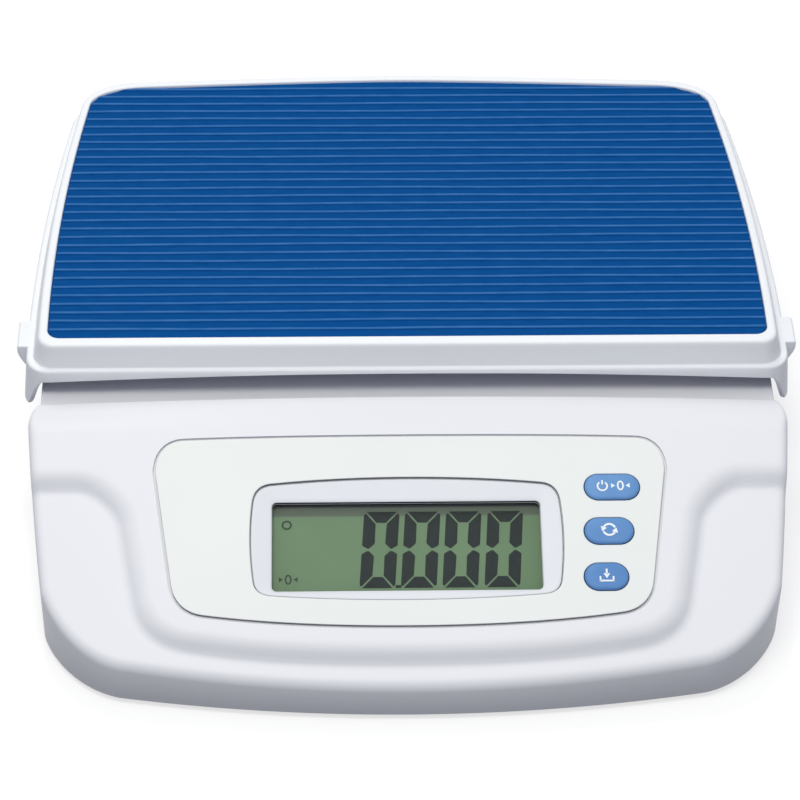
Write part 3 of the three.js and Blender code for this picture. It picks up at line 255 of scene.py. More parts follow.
def fill(loops, extra=()):
    """Triangles between the first loop and the others, which are holes; extra points lie inside."""
    edges, start = [], 0
    for loop in loops:
        edges += [(a, b) for a, b, _, _ in band(start, 0, len(loop))]
        start += len(loop)
    points, _, triangles, source, _, _ = delaunay_2d_cdt(
        [Vector(point) for point in np.vstack([*loops, *extra]).tolist()], edges, [], 0, 1e-5)
    origin = [min(names) if names else -1 for names in source]
    names = [tuple(origin[i] for i in triangle) for triangle in triangles]
    walls = {frozenset(edge) for edge in edges}
    sides = [[frozenset(pair) for pair in ((a, b), (b, c), (c, a))] for a, b, c in names]
    beside = {}
    for number, around in enumerate(sides):
        for edge in around:
            beside.setdefault(edge, []).append(number)
    corners = np.array([[tuple(points[i]) for i in triangle] for triangle in triangles])
    middles = corners.mean(axis=1)
    (ux, uy), (vx, vy) = (corners[:, 1] - corners[:, 0]).T, (corners[:, 2] - corners[:, 0]).T
    area = ux * vy - uy * vx
    seen, kept = set(), []
    for start in range(len(names)):
        if start in seen:
            continue
        seen.add(start)
        group = [start]     # grows to all the triangles that no wall parts from the first
        for number in group:
            for edge in sides[number]:
                if edge not in walls:
                    group += [other for other in beside[edge] if other not in seen]
                    seen.update(beside[edge])
        largest = middles[max(group, key=lambda number: area[number])][None, :]
        depths = [distance_to(largest, loop)[0] for loop in loops]
        if depths[0] > 0 and max(depths[1:], default=-1) < 0:
            kept += [names[number] for number in group]
    return kept


def surface_plate(outer, holes, height, low, extra=(), levels=(0.0,), hole_levels=None):
    """A closed plate, ringed at the levels' insets, whose top follows height(points, number of the level)."""
    sets = [[inset(outer, level) for level in levels]]
    sets += [[inset(hole, -level) for level in hole_levels or levels] for hole in holes]
    blocks, faces = [], []

    def add(block):
        blocks.append(block)
        first = sum(len(block) for block in blocks[:-1])
        return np.arange(first, first + len(block))
    chains = [[add(at_height(flat, height(flat, level))) for level, flat in enumerate(rings)]
              for rings in sets]
    top = [chain[-1] for chain in chains]
    if len(extra):
        top.append(add(at_height(extra, height(extra, None))))
    top = np.concatenate(top)
    for triangle in fill([rings[-1] for rings in sets], [extra] if len(extra) else []):
        faces.append(tuple(top[i] for i in triangle))
    bottom = [add(at_height(rings[0], low)) for rings in sets]
    for number, chain in enumerate(chains):
        for below, above in zip([bottom[number]] + chain, chain):
            faces += [face[::-1] if number else face for face in band(below[0], above[0], len(below))]
    bottom = np.concatenate(bottom)
    for triangle in fill([rings[0] for rings in sets]):
        faces.append(tuple(bottom[i] for i in triangle[::-1]))
    return np.vstack(blocks), faces


def plate(outer, holes, low, high, radius, steps=3):
    """A flat plate with holes, rounded along the edges of its top."""
    levels, drops = zip(*rounding(radius, steps), (radius * 1.8, 0))
    return surface_plate(outer, holes, lambda flat, level: high - drops[level], low, (), levels)


# The console's own frame: across, up the slope from the crease, and square to the slope
def on_console(form):
    points, faces = form
    x, along, up = points.T
    y = CREASE_Y + along * COSINE - up * SINE
    z = CREASE_HEIGHT + along * SINE + up * COSINE
    return np.column_stack([x, y, z]), faces


def slope_height(y, offset):
    return CREASE_HEIGHT - (CREASE_Y - y) * math.tan(TILT) + offset / COSINE


# Blender objects
def new_mesh(name, form):
    points, faces = form
    mesh = bpy.data.meshes.new(name)
    mesh.from_pydata((np.asarray(points) * MM).tolist(), [], [list(map(int, face)) for face in faces])
    mesh.update()
    return mesh


def new_object(name, data):
    thing = bpy.data.objects.new(name, data)
    bpy.context.scene.collection.objects.link(thing)
    return thing


def combine(base, tool, operation):
    """Solid result of two forms: UNION, DIFFERENCE or INTERSECT."""
    first, second = (new_object("temporary", new_mesh("temporary", form)) for form in (base, tool))
    modifier = first.modifiers.new("combine", "BOOLEAN")
    modifier.operation, modifier.solver, modifier.object = operation, "MANIFOLD", second
    evaluated = first.evaluated_get(bpy.context.evaluated_depsgraph_get())
    mesh = evaluated.to_mesh()
    points = np.empty(len(mesh.vertices) * 3)
    mesh.vertices.foreach_get("co", points)
    faces = [tuple(polygon.vertices) for polygon in mesh.polygons]
    evaluated.to_mesh_clear()
    for thing in (first, second):
        bpy.data.meshes.remove(thing.data)      # takes the object with it
    if not faces:
        raise RuntimeError("an empty solid came out of " + operation)
    return points.reshape(-1, 3) / MM, faces


def cut(base, *tools):
    for tool in tools:
        base = combine(base, tool, "DIFFERENCE")
    return base


def piece(name, form, look, body, replaced=(), angle=32):
    mesh = new_mesh(name, form)
    mesh.shade_smooth()
    mesh.set_sharp_from_angle(angle=math.radians(angle))
    mesh.materials.append(look)
    thing = new_object(name, mesh)
    if replaced:
        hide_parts(*replaced)
    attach(thing, body)
    return thing


# Outlines of the platform and the console
def platform_outline(level, rim=0.0, steps=14):
    half = PLATFORM_HALF - level - rim
    front = PLATFORM_FRONT + level * FRONT_INSET + rim * 1.5
    back = PLATFORM_BACK - level * BACK_INSET - rim
    radius = 10 - (level + rim) / 2
    reach = radius * QUARTER
    side_end = PLATFORM_FRONT + PLATFORM_DEPTH * 0.867
    taper = 11.1 - 0.07 * (level + rim)
    slope = 2 * taper * 1.08 / (side_end - front - radius)
    back_bow = 4.2
    corner_x, corner_y = PLATFORM_HALF * 0.748 - rim, back - back_bow
    back_slope = back_bow / (0.75 * corner_x)
    run, rise = half - taper - corner_x, corner_y - side_end
    straight = [[((half - radius) * i / FRONT_STEPS, front)] for i in range(1, FRONT_STEPS + 1)]
    path = trace((0, front), straight + [
        [(half - radius + reach, front), (half, front + radius - reach), (half, front + radius)],
        [(half + 0.08 * taper, (front + radius + side_end) / 2), (half - taper, side_end)],
        [(half - taper - 0.55 * rise * slope, side_end + 0.55 * rise),
         (corner_x + 0.55 * run, corner_y - 0.55 * run * back_slope), (corner_x, corner_y)],
        [(0.25 * corner_x, back), (0, back)],
    ], steps)
    return both_halves(path)


# Right halves of outlines, from the middle of the back to the middle of the front, as shares of a half
# width and a height
CONSOLE_SHARE = [
    [(0.967, 0)],
    [(0.995, 0.01), (1, 0.085)],
    [(0.984, 0.361), (0.954, 0.646)],
    [(0.931, 0.751), (0.853, 0.884), (0.751, 0.917)],
    [(0.377, 1), (0, 1)],
]
PAD_SHARE = [
    [(0.866, 0.311)],
    [(0.816, 0.316), (0.754, 0.393), (0.746, 0.455)],
    [(0.73, 0.578), (0.709, 0.709)],
    [(0.7, 0.794), (0.662, 0.852), (0.589, 0.875)],
    [(0.371, 0.93), (0, 0.93)],
]
OVERLAY_SHARE = [
    [(0.56, 0), (0.886, 0.015)],
    [(0.965, 0.017), (1, 0.087), (1, 0.191)],
    [(0.931, 0.783)],
    [(0.92, 0.869), (0.877, 0.925), (0.809, 0.939)],
    [(0.466, 1), (0, 1)],
]
EYE_SHARE = [
    [(0.46, 0), (0.873, 0.05)],
    [(0.945, 0.062), (0.975, 0.12), (0.983, 0.2)],
    [(1.013, 0.52), (0.975, 0.85)],
    [(0.965, 0.92), (0.93, 0.95), (0.873, 0.96)],
    [(0.46, 1), (0, 1)],
]


def share_outline(share, half_width, height, top, level, steps, lead=()):
    """The whole outline, inset by the level; lead holds a first point and stretches before the share."""
    start, *segments = lead or [(0, top)]
    for handles in share:
        segments.append([(across * half_width, top - down * height) for across, down in handles])
    return inset(both_halves(trace(start, segments, steps)[::-1]), level)


def console_outline(level=0.0, steps=26):
    return share_outline(CONSOLE_SHARE, CONSOLE_HALF, CONSOLE_DEPTH, CREASE_Y, level, steps)


def pad_edge(level, steps=26):
    """The pad's edge, along the slope; behind the console's shoulders it runs past the console's sides."""
    reach, shoulder = CONSOLE_HALF + 12, -0.311 * SLOPE_LENGTH
    lead = [(0, 12), [(reach, 12)], [(reach, shoulder)]]
    return share_outline(PAD_SHARE, CONSOLE_HALF, SLOPE_LENGTH, 0, level, steps, lead)


def overlay_outline(level):
    return share_outline(OVERLAY_SHARE, OVERLAY_HALF, OVERLAY_HEIGHT, -OVERLAY_TOP, level, 20)


def eye_outline(level):
    return share_outline(EYE_SHARE, 64.5, 54.8, -39.1, level, 20) - [2.0, 0]


BUTTONS = [
    {"name": name, "width": width, "height": height,
     "x": across * OVERLAY_HALF, "down": OVERLAY_TOP + down * OVERLAY_HEIGHT}
    for name, width, height, across, down in (
        ("button_power", 23.3, 12.1, 0.789, 0.283),
        ("button_mode", 20.8, 12.3, 0.7685, 0.517),
        ("button_memory", 18.5, 12.5, 0.749, 0.757))
]


def button_outline(button, grow, steps=18):
    width, height = button["width"] + 2 * grow, button["height"] + 2 * grow
    return stadium(width, height, button["x"], -button["down"], steps)


# Materials
def linear(*srgb):
    return tuple((v / 255 / 12.92) if v <= 10 else ((v / 255 + 0.055) / 1.055) ** 2.4 for v in srgb) + (1.0,)


def add_node(tree, kind, inputs=(), **settings):
    """A new shader node of a tree, whose inputs are linked to sockets or set to values."""
    made = tree.nodes.new("ShaderNode" + kind)
    for name, value in settings.items():
        setattr(made, name, value)
    for name, value in dict(inputs).items():
        if isinstance(value, bpy.types.NodeSocket):
            tree.links.new(value, made.inputs[name])
        else:
            made.inputs[name].default_value = value
    return made


class Look:
    """A material with a Principled shader, built up from procedural layers, mostly in object coordinates."""

    def __init__(self, name, **sockets):
        self.material = bpy.data.materials.new(name)
        self.material.use_nodes = True
        self.tree = self.material.node_tree
        self.shader = self.tree.nodes["Principled BSDF"]
        for socket, value in sockets.items():
            self.shader.inputs[socket.replace("_", " ")].default_value = value
        self.place = self.node("TexCoord").outputs["Object"]

    def node(self, kind, inputs=(), **settings):
        return add_node(self.tree, kind, inputs, **settings)

    def axis(self, letter, place=None):
        return self.node("SeparateXYZ", {"Vector": place or self.place}).outputs[letter]

    def noise(self, scale, detail=3.0, stretch=None):
        place = self.place
        if stretch:
            place = self.node("Mapping", {"Vector": place, "Scale": stretch}).outputs["Vector"]
        made = self.node("TexNoise", {"Vector": place, "Scale": scale, "Detail": detail})
        return made.outputs["Fac"]

    def tones(self, value, dark, light, start=0.3):
        """The colour that goes from dark to light over the middle of the value's range."""
        made = self.node("ValToRGB", {"Fac": value})
        for element, position, tone in zip(made.color_ramp.elements, (start, 0.7), (dark, light)):
            element.position, element.color = position, linear(*tone)
        return made.outputs["Color"]

    def spread(self, value, low, high, start=0.0, end=1.0):
        made = self.node("MapRange", {
            "Value": value, "From Min": start, "From Max": end, "To Min": low, "To Max": high})
        return made.outputs["Result"]

    def within(self, value, start_mm, end_mm):
        """Rises from 0 to 1 between two places, in millimetres."""
        return self.spread(value, 0.0, 1.0, start_mm * MM, end_mm * MM)

    def mix(self, factor, first, second, blend="MIX"):
        sockets = {0: factor, 6: first, 7: second}
        return self.node("Mix", sockets, data_type="RGBA", blend_type=blend).outputs[2]

    def finish(self, colour, grain, strength, depth_mm, gloss=None, rough=()):
        """The material with a colour, a grain as a bump, and the gloss as a roughness between two values."""
        bump = self.node("Bump", {"Height": grain, "Strength": strength, "Distance": depth_mm * MM})
        layers = {"Base Color": colour, "Normal": bump.outputs["Normal"]}
        if gloss:
            layers["Roughness"] = self.spread(gloss, *rough)
        return self.feed(layers)

    def feed(self, layers):
        for name, socket in layers.items():
            self.tree.links.new(socket, self.shader.inputs[name])
        return self.material


def plastic(name, light, dark, rough, grain=0.02, shaded=None):
    """Moulded plastic: faint cloudy colour, uneven gloss, and a fine spark-eroded grain."""
    look = Look(name, Specular_IOR_Level=0.22)
    colour = look.tones(look.noise(9.0, 2.0), dark, light)
    return look.finish(shaded(look, colour) if shaded else colour, look.noise(1400.0, 2.0), 0.12, grain,
                       look.noise(60.0), (rough - 0.04, rough + 0.05))


def painted_deck_shade(look, plain):
    """The housing's colour with painted shade: greyer on the deck that goes in below the platform, where the
    platform's shadow falls.
    """
    inward = look.within(look.axis("Y"), CREASE_Y + 1, CREASE_Y + 16)
    high = look.within(look.axis("Z"), DECK - 3, DECK - 0.5)
    deck_shade_mask = look.node("Math", {0: inward, 1: high}, operation="MULTIPLY").outputs["Value"]
    # Painted shade: the bluish grey stands in for the shadow under the platform's lip.
    return look.mix(deck_shade_mask, plain, linear(204, 205, 219))


def rubber_look():
    """Dark matt rubber with a coarse mottle."""
    look = Look("dark_rubber", Specular_IOR_Level=0.3)
    return look.finish(look.tones(look.noise(240.0, 4.0), (40, 41, 44), (52, 53, 56), 0.35),
                       look.noise(2200.0), 0.35, 0.06, look.noise(300.0), (0.76, 0.88))


def mat_look():
    """Deep blue rubber with a slight mottle and matt grain, and a painted highlight: the rib crests are paler.
    """
    look = Look("mat_rubber", Specular_IOR_Level=0.04)
    mottle = look.noise(420.0, 3.0, (0.25, 1.0, 1.0))
    valley = look.tones(mottle, (4, 72, 138), (9, 77, 144))
    # Painted highlight: a paler blue on the top of each rib crest, where light would catch it.
    colour = look.mix(look.within(look.axis("Z"), 85.75, 86.1), valley,
                      look.tones(mottle, (46, 102, 166), (62, 114, 176)))
    return look.finish(colour, look.noise(2200.0), 0.3, 0.04, look.noise(300.0), (0.7, 0.84))


def button_look():
    """Blue rubber with painted light: paler towards the back and the left."""
    look = Look("button_rubber", Specular_IOR_Level=0.3, Roughness=0.5)
    # Painted light: a gradient across each cap, as if lit from the back and the left.
    slant = look.node("VectorMath", {0: look.place, 1: (-0.35, 0.8, 0.3)}, operation="DOT_PRODUCT")
    painted_light_sweep = look.within(slant.outputs["Value"], -105, -35)
    colour = look.mix(1.0, look.tones(look.noise(90.0, 2.0), (110, 160, 213), (120, 168, 219)),
                      look.mix(painted_light_sweep, linear(206, 218, 236), linear(255, 255, 255)), "MULTIPLY")
    return look.finish(colour, look.noise(1500.0, 2.0), 0.1, 0.02)


def metal(name, light, dark, rough):
    look = Look(name, Metallic=1.0)
    brushed = look.noise(500.0, 3.0, (1.0, 0.06, 0.3))
    return look.finish(look.tones(brushed, dark, light), brushed, 0.15, 0.03, brushed,
                       (rough - 0.06, rough + 0.08))


def window_look():
    """A thin clear cover: nearly all see-through, with a soft gloss and a trace of haze."""
    look = Look("clear_window", IOR=1.18, Alpha=0.04)
    look.material.surface_render_method = "BLENDED"
    return look.feed({"Base Color": look.tones(look.noise(30.0, 2.0), (90, 98, 92), (102, 110, 104)),
                      "Roughness": look.spread(look.noise(120.0, 2.0), 0.04, 0.09)})


def display_look():
    """The back of a display: grey green, faintly mottled, with a painted shadow band along its far edge and
    darker painted shade right under the opening's far wall.
    """
    look = Look("display_glass", Specular_IOR_Level=0.35)
    base = look.tones(look.noise(28.0, 2.0), (106, 137, 102), (113, 143, 109))
    across = look.axis("Y", look.node("NewGeometry").outputs["Position"])
    # Painted shadow: the band that the opening's far wall would cast onto the display.
    painted_shadow_band = look.mix(look.within(across, -84.8, -84.4), base, linear(105, 118, 102))
    # Painted shade, darker still, just under the far wall.
    colour = look.mix(look.within(across, -81.4, -80.8), painted_shadow_band, linear(108, 112, 110))
    return look.finish(colour, look.noise(2500.0, 2.0), 0.08, 0.01, look.noise(700.0, 2.0), (0.3, 0.42))


def plain_detail(name, light, dark, rough, scale=400.0, **sockets):
    look = Look(name, **sockets)
    return look.finish(look.tones(look.noise(scale), dark, light), look.noise(scale * 4, 2.0), 0.1, 0.01,
                       look.noise(scale / 2, 2.0), (rough - 0.05, rough + 0.05))


white_plastic = plastic("white_plastic", (244, 246, 250), (242, 244, 248), 0.42)
# The housing's colour carries painted shade on the deck under the platform.
housing_plastic = plastic("housing_plastic", (235, 236, 241), (233, 234, 240), 0.42, 0.02, painted_deck_shade)
inner_plastic = plastic("inner_plastic", (222, 224, 228), (216, 218, 222), 0.5, 0.03)
overlay_plastic = plastic("overlay_plastic", (237, 240, 239), (234, 237, 236), 0.42, 0.012)
# A grey material for the overlay's walls: painted shade in the groove around the plate and its openings.
painted_groove_shade = plastic("painted_groove_shade", (128, 129, 134), (118, 119, 124), 0.5, 0.02)
bezel_plastic = plastic("bezel_plastic", (230, 232, 238), (227, 229, 236), 0.4, 0.01)
black_plastic = plastic("black_plastic", (40, 41, 43), (33, 34, 36), 0.45, 0.03)
dark_rubber = rubber_look()
aluminium = metal("aluminium", (206, 208, 211), (190, 192, 196), 0.38)
steel = metal("steel", (186, 188, 191), (166, 168, 172), 0.32)
figure_ink = plain_detail("display_segments", (54, 60, 60), (48, 54, 55), 0.6, Specular_IOR_Level=0.1)
mark_ink = plain_detail("display_marks", (62, 80, 66), (55, 72, 60), 0.5, Specular_IOR_Level=0.2)
sign_ink = plain_detail("button_print", (246, 249, 252), (238, 243, 249), 0.45)
board_lacquer = plain_detail("board_lacquer", (48, 112, 76), (38, 96, 64), 0.42, 160.0)
cable_sheath = plain_detail("cable_sheath", (150, 153, 158), (136, 140, 146), 0.6, 300.0)
battery_sleeve = plain_detail("battery_sleeve", (196, 168, 86), (182, 152, 70), 0.3, 120.0, Coat_Weight=0.4)


# Base housing: the console, the neck under the platform, and the hollow
def step_drop(distance):
    """The fall from the pad to the shelf at a distance outside the pad's edge: a shoulder, then a hollow."""
    shoulder, hollow, reach = 9.9, 4.95, PAD_INSET / 2
    distance = np.clip(distance, -PAD_INSET, reach)
    convex = shoulder - np.sqrt(shoulder ** 2 - (PAD_INSET + np.minimum(distance, 0)) ** 2)
    concave = SHELF_DROP - hollow + np.sqrt(hollow ** 2 - (reach - np.maximum(distance, 0)) ** 2)
    return np.where(distance <= 0, convex, concave)


def crown(x, along):
    """How much lower the console lies towards its sides, next to the crease."""
    fade = np.cos(math.pi / 2 * np.clip(-along / 17, 0, 1)) ** 2
    return 3.4 * fade * (x / CONSOLE_HALF) ** 2


def rounding_radius(y):
    return 3.8 * (0.3 + 0.7 * smoothstep(CREASE_Y - y, 0, 18))


def console_height(flat, edge, pad):
    x, y = flat.T
    along = (y - CREASE_Y) / COSINE
    for _ in range(4):      # settles, because the drop also shifts the place along the slope
        drop = step_drop(-distance_to(np.column_stack([x, along]), pad)) + crown(x, along)
        along = (y - CREASE_Y - drop * SINE) / COSINE
    radius = rounding_radius(y)
    left = radius - np.clip(distance_to(flat, edge), 0, radius)
    return slope_height(y, -drop) - (radius - np.sqrt(radius ** 2 - left ** 2))


def apart(points, kept, cell):
    """The points that are at least a cell away from all kept before them."""
    boxes, taken = {}, []
    for number, (x, y) in enumerate(np.vstack([kept, points]).tolist()):
        i, j = int(x // cell), int(y // cell)
        near = (q for di in (-1, 0, 1) for dj in (-1, 0, 1) for q in boxes.get((i + di, j + dj), ()))
        if number >= len(kept):
            if any((x - qx) ** 2 + (y - qy) ** 2 < cell * cell for qx, qy in near):
                continue
            taken.append((x, y))
        boxes.setdefault((i, j), []).append((x, y))
    return np.array(taken).reshape(-1, 2)


def console_form():
    """The housing's front part down to its foot: a height field over the outline, and an upright wall."""
    edge = even_steps(console_outline(0, 60), 2.4)
    pad = pad_edge(0)
    radius = rounding_radius(edge[:, 1])
    rings = [inset(edge, radius * (1 - math.cos(math.radians(turn)))) for turn in range(0, 91, 15)]
    rings.append(inset(edge, radius + 1.0))
    pad_line = even_steps(pad, 1.5)
    step_rings = []
    for distance in np.linspace(-PAD_INSET - 0.8, PAD_INSET / 2 + 0.8, 17):
        x, along = inset(pad_line, -distance).T
        drop = step_drop(distance) + crown(x, along)
        step_rings.append(np.column_stack([x, CREASE_Y + along * COSINE + drop * SINE]))
    coarse = lattice((-160, 160, 4.0), (CREASE_Y - 124, CREASE_Y, 3.6))
    fine = lattice((-160, 160, 4.0), (CREASE_Y - 18, CREASE_Y, 1.5))

    def well_inside(points):
        return points[distance_to(points, edge) > rounding_radius(points[:, 1]) + 1.7]
    step_points = apart(well_inside(np.vstack(step_rings)), np.vstack(rings), 0.6)
    rest = apart(well_inside(np.vstack([fine, coarse])), np.vstack([*rings, step_points]), 1.3)
    inner = np.vstack([*rings[1:], step_points, rest])
    top = np.vstack([edge, inner])
    faces = fill([edge], [inner])
    lower = [at_height(inset(edge, level), FOOT_HEIGHT + up)
             for up, level in ((0.5, 0.0), (0.15, 0.15), (0.0, 0.5))]
    chain = [0] + [len(top) + i * len(edge) for i in range(len(lower))]
    for above, below in zip(chain, chain[1:]):
        faces += band(below, above, len(edge))
    faces += [tuple(chain[-1] + i for i in triangle[::-1]) for triangle in fill([edge])]
    return np.vstack([at_height(top, console_height(top, edge, pad)), *lower]), faces


def neck_outline(level, front, steps=14):
    around = platform_outline(level, 0, steps)
    around = around[around[:, 1] > PLATFORM_FRONT + 10 + level]
    side = PLATFORM_HALF - level
    return np.vstack([[(side, front)], around, [(-side, front)]])


JACK_X, JACK_Z, JACK_WALL, JACK_DEPTH = -88.0, 24.0, PLATFORM_BACK - NECK_LEVEL * BACK_INSET, 24.0
SCREW_PLACES = [(side * x, y) for x, y in (
    (0.8386 * CONSOLE_HALF, CREASE_Y - 0.347 * CONSOLE_DEPTH),
    (0.8256 * PLATFORM_HALF, PLATFORM_FRONT + 0.677 * PLATFORM_DEPTH)) for side in (-1, 1)]
BOARD_BOSSES = [(-74.0, -65.0), (101.0, -65.0)]


def housing_form():
    neck = rounded_slab(neck_outline(NECK_LEVEL, CREASE_Y - 1), FOOT_HEIGHT, DECK, 0.8, 3, 0.5)
    form = combine(console_form(), neck, "UNION")
    coarse = console_outline(WALL, 8)
    shelf = slope_height(coarse[:, 1], -SHELF_DROP - WALL)
    shelf_room = loft([at_height(coarse, 2.0), at_height(coarse, shelf)])
    pad_room = combine(slab(pad_edge(PAD_INSET, 8), -SLOPE_LENGTH, -3.2),
                       block(-160, 160, -SLOPE_LENGTH - 1, -17, -SLOPE_LENGTH - 1, 0), "INTERSECT")
    pad_room = combine(on_console(pad_room), slab(coarse, COVER_TOP, CREASE_HEIGHT), "INTERSECT")
    neck_room = slab(neck_outline(NECK_LEVEL + WALL, CREASE_Y - 6, 6), 2.0, DECK - WALL)
    form = cut(form, shelf_room, pad_room, neck_room)
    for x, y in SCREW_PLACES:
        top = slope_height(y, -SHELF_DROP - 1.75) if y < CREASE_Y else DECK - 1.75
        form = combine(form, rod(4, x, y, COVER_TOP + GAP, top), "UNION")
        form = cut(form, rod(1.7, x, y, COVER_TOP, COVER_TOP + 12))
    for x, along in BOARD_BOSSES:
        form = combine(form, on_console(rod(3.6, x, along, -12.7, -2.9)), "UNION")
        form = cut(form, on_console(rod(1.6, x, along, -14, -4.2)))
    form = cut(form, on_console(slab(overlay_outline(-1.15), -1.2, 3)))
    for opening in [eye_outline(-GAP)] + [button_outline(button, 0.4) for button in BUTTONS]:
        form = cut(form, on_console(slab(opening, -13, 3)))
    form = cut(form, block(28, 68, PLATFORM_MIDDLE - 18, PLATFORM_MIDDLE + 18, DECK - 4, DECK + 1))
    return cut(form, along_y(rod(5.0, 0, 0, JACK_WALL - JACK_DEPTH, JACK_WALL + 5, 48), JACK_X, JACK_Z))


piece("base_housing_skin", housing_form(), housing_plastic, "base", ["base_housing"], 28)


# Platform shell: a loft of rings, each given by its insets and height
def skirt_ring(level, rise):
    edge = platform_outline(0)
    lip = 2 + 4.4 * (np.abs(edge[:, 0]) / PLATFORM_HALF) ** 1.8
    depth = lip + (SKIRT - lip) * smoothstep(edge[:, 1], PLATFORM_FRONT, PLATFORM_FRONT + 5)
    plain, flared = platform_outline(level), platform_outline(level - SKIRT_FLARE)
    place = plain + (flared - plain) * (depth / SKIRT)[:, None]
    return at_height(place, LEDGE - depth + np.minimum(rise, 0.4 * (depth - 1.8)))


def shell_form():
    def ring(level, rim, height):
        return at_height(platform_outline(level, rim), height)
    rings = [ring(RIM_LEVEL, 2, CEILING), ring(5.7, 0, 73.2), ring(2.2, 0, 73.2)]
    rings += [skirt_ring(level, rise) for level, rise in
              ((2.2, 0.6), (2.05, 0.2), (1.7, 0.0), (0.6, 0.0), (0.2, 0.15), (0.0, 0.6))]
    rings += [ring(inward, 0, LEDGE - down) for inward, down in rounding(1.3, 7)]
    rings += [ring(2.3, 0, LEDGE)]
    rings += [ring(3.2 - left, 0, LEDGE + up) for up, left in rounding(0.8, 7)[1:]]
    rings += [ring(3.7, 0, 77.7), ring(5.0, 0, 83.0), ring(5.4, 0, 84.6)]
    rings += [ring(*place) for place in bezier([
        (5.4, 0, 84.6), (5.8, 0, 86.1), (6.2, 0.15, RIM_TOP), (RIM_LEVEL, 1.1, RIM_TOP)], 9)]
    rings += [ring(RIM_LEVEL, 2.2, RIM_TOP)]
    rings += [ring(RIM_LEVEL, 3.1 - left, RIM_TOP - down) for down, left in rounding(0.8, 7)]
    rings += [ring(RIM_LEVEL, 3.1, 84.6), ring(RIM_LEVEL, 3.1, POCKET)]
    form = loft(rings)
    for side in (1, -1):
        form = combine(form, ear_form(side), "UNION")
    for x, y in ((side * 115, PLATFORM_MIDDLE + end * 58) for side in (-1, 1) for end in (-1, 1)):
        form = combine(form, rod(6, x, y, FRAME_TOP + GAP, CEILING + 1), "UNION")
        form = cut(form, rod(2.1, x, y, FRAME_TOP, FRAME_TOP + GAP + 10))
    return form


def ear_form(side):
    """An ear on the shell's side: its section as seen from the front, drawn out backwards."""
    half, outer, low = PLATFORM_HALF, PLATFORM_HALF + 4.3, LEDGE - 11
    section = [(half - 3, low), (half + 1.2, low), (half + 1.7, low + 0.5)]
    section += bezier([section[-1], (half + 2.9, low + 3.0), (outer, LEDGE - 5.5), (outer, LEDGE - 3.2)], 12)
    section += [(outer - inward, LEDGE - down) for inward, down in rounding(1.2, 6)]
    section = np.array(section + [(half - 3, LEDGE - 0.01)])
    if side < 0:
        section = (section * [-1, 1])[::-1]
    front = PLATFORM_FRONT + 15.8
    points, faces = rounded_slab(section, -(front + 15.6), -front, 0.6, 4, 0.6)
    return np.column_stack([points[:, 0], -points[:, 2], points[:, 1]]), faces


piece("platform_shell_skin", shell_form(), white_plastic, "platform", ["platform_shell"], 28)


# Ribbed mat: rows across the platform, close together on the ribs, which are soft and waver a little
def mat_form():
    outline = platform_outline(RIM_LEVEL, 3.13, 20)
    half = outline[:len(outline) // 2 + 1]
    front, back = half[0, 1], half[-1, 1]
    side = half[FRONT_STEPS:]
    low, sheet = POCKET + GAP, POCKET + GAP + 1
    count = int((back - front - 7.2) // RIB_PITCH) + 1
    first = (front + back - (count - 1) * RIB_PITCH) / 2
    rows = [front + t for t in (0.02, 0.12, 0.35, 0.8, 1.8)]
    for rib in range(count):
        on_rib = (-0.95, -0.85, -0.7, -0.55, -0.4, -0.2, 0, 0.2, 0.4, 0.55, 0.7, 0.85, 0.95)
        valley = (1.4, 2.65, 3.9) if rib + 1 < count else ()
        rows += [first + rib * RIB_PITCH + t for t in (*on_rib, *valley)]
    rows += [back - t for t in (*np.arange(3.4, 17, 0.8), 2.9, 2.0, 1.2, 0.6, 0.35, 0.12, 0.02)]
    rows = np.array(sorted(rows))
    rows = rows[np.diff(rows, prepend=rows[0] - 1) > 0.03]
    shares = np.array([0, 0.0008, 0.0024, 0.006, *np.linspace(0.015, 0.985, 62), 0.994, 0.9976, 0.9992, 1])
    x = (2 * shares - 1) * np.interp(rows, side[:, 1], side[:, 0])[:, None]
    y = np.repeat(rows[:, None], len(shares), axis=1)

    rib = np.round((y - first) / RIB_PITCH)
    offset = np.where((rib < 0) | (rib >= count), 9.0, np.abs(y - first - rib * RIB_PITCH))
    edge = distance_to(np.column_stack([x.ravel(), y.ravel()]), even_steps(outline, 3)).reshape(x.shape)
    edge = np.clip(edge, 0, 0.5)
    rise = np.minimum(0.7 * smoothstep(0.98 - offset, 0, 0.56), 0.75 * smoothstep(edge, -0.1, 0.5))
    z = sheet + rise - (0.5 - np.sqrt(0.25 - (0.5 - edge) ** 2))
    away = smoothstep(y, front + 1, front + 6) * smoothstep(back - y, 1, 6)
    y = y + (0.16 * np.sin(x / 31 + rib * 0.9) + 0.1 * np.sin(x / 11.3 + rib * 2.3)) * away

    top = np.stack([x, y, z], axis=-1).reshape(-1, 3)
    names = np.arange(len(top)).reshape(x.shape)
    grid = np.stack([names[:-1, :-1], names[:-1, 1:], names[1:, 1:], names[1:, :-1]], axis=-1)
    loop = np.concatenate([names[0, :-1], names[:-1, -1], names[-1, :0:-1], names[:0:-1, 0]])
    walls = band(len(top), 0, len(loop))
    faces = [tuple(face) for face in grid.reshape(-1, 4)]
    faces += [(a, b, loop[c], loop[d]) for a, b, c, d in walls]
    faces += [(len(top) + len(loop), b, a) for a, b, _, _ in walls]
    return np.vstack([top, at_height(top[loop, :2], low), [(0, (front + back) / 2, low)]]), faces


piece("ribbed_mat_skin", mat_form(), mat_look(), "platform", ["ribbed_mat"], 50)


# Overlay and display bezel
def line_walls(thing, look, steepest, chosen=lambda place: True):
    """Gives a second material to the faces that stand square to the console, where they are chosen."""
    console_up = Vector((0, -SINE, COSINE))
    thing.data.materials.append(look)
    for polygon in thing.data.polygons:
        if abs(polygon.normal.dot(console_up)) < steepest and chosen(polygon.center / MM):
            polygon.material_index = 1


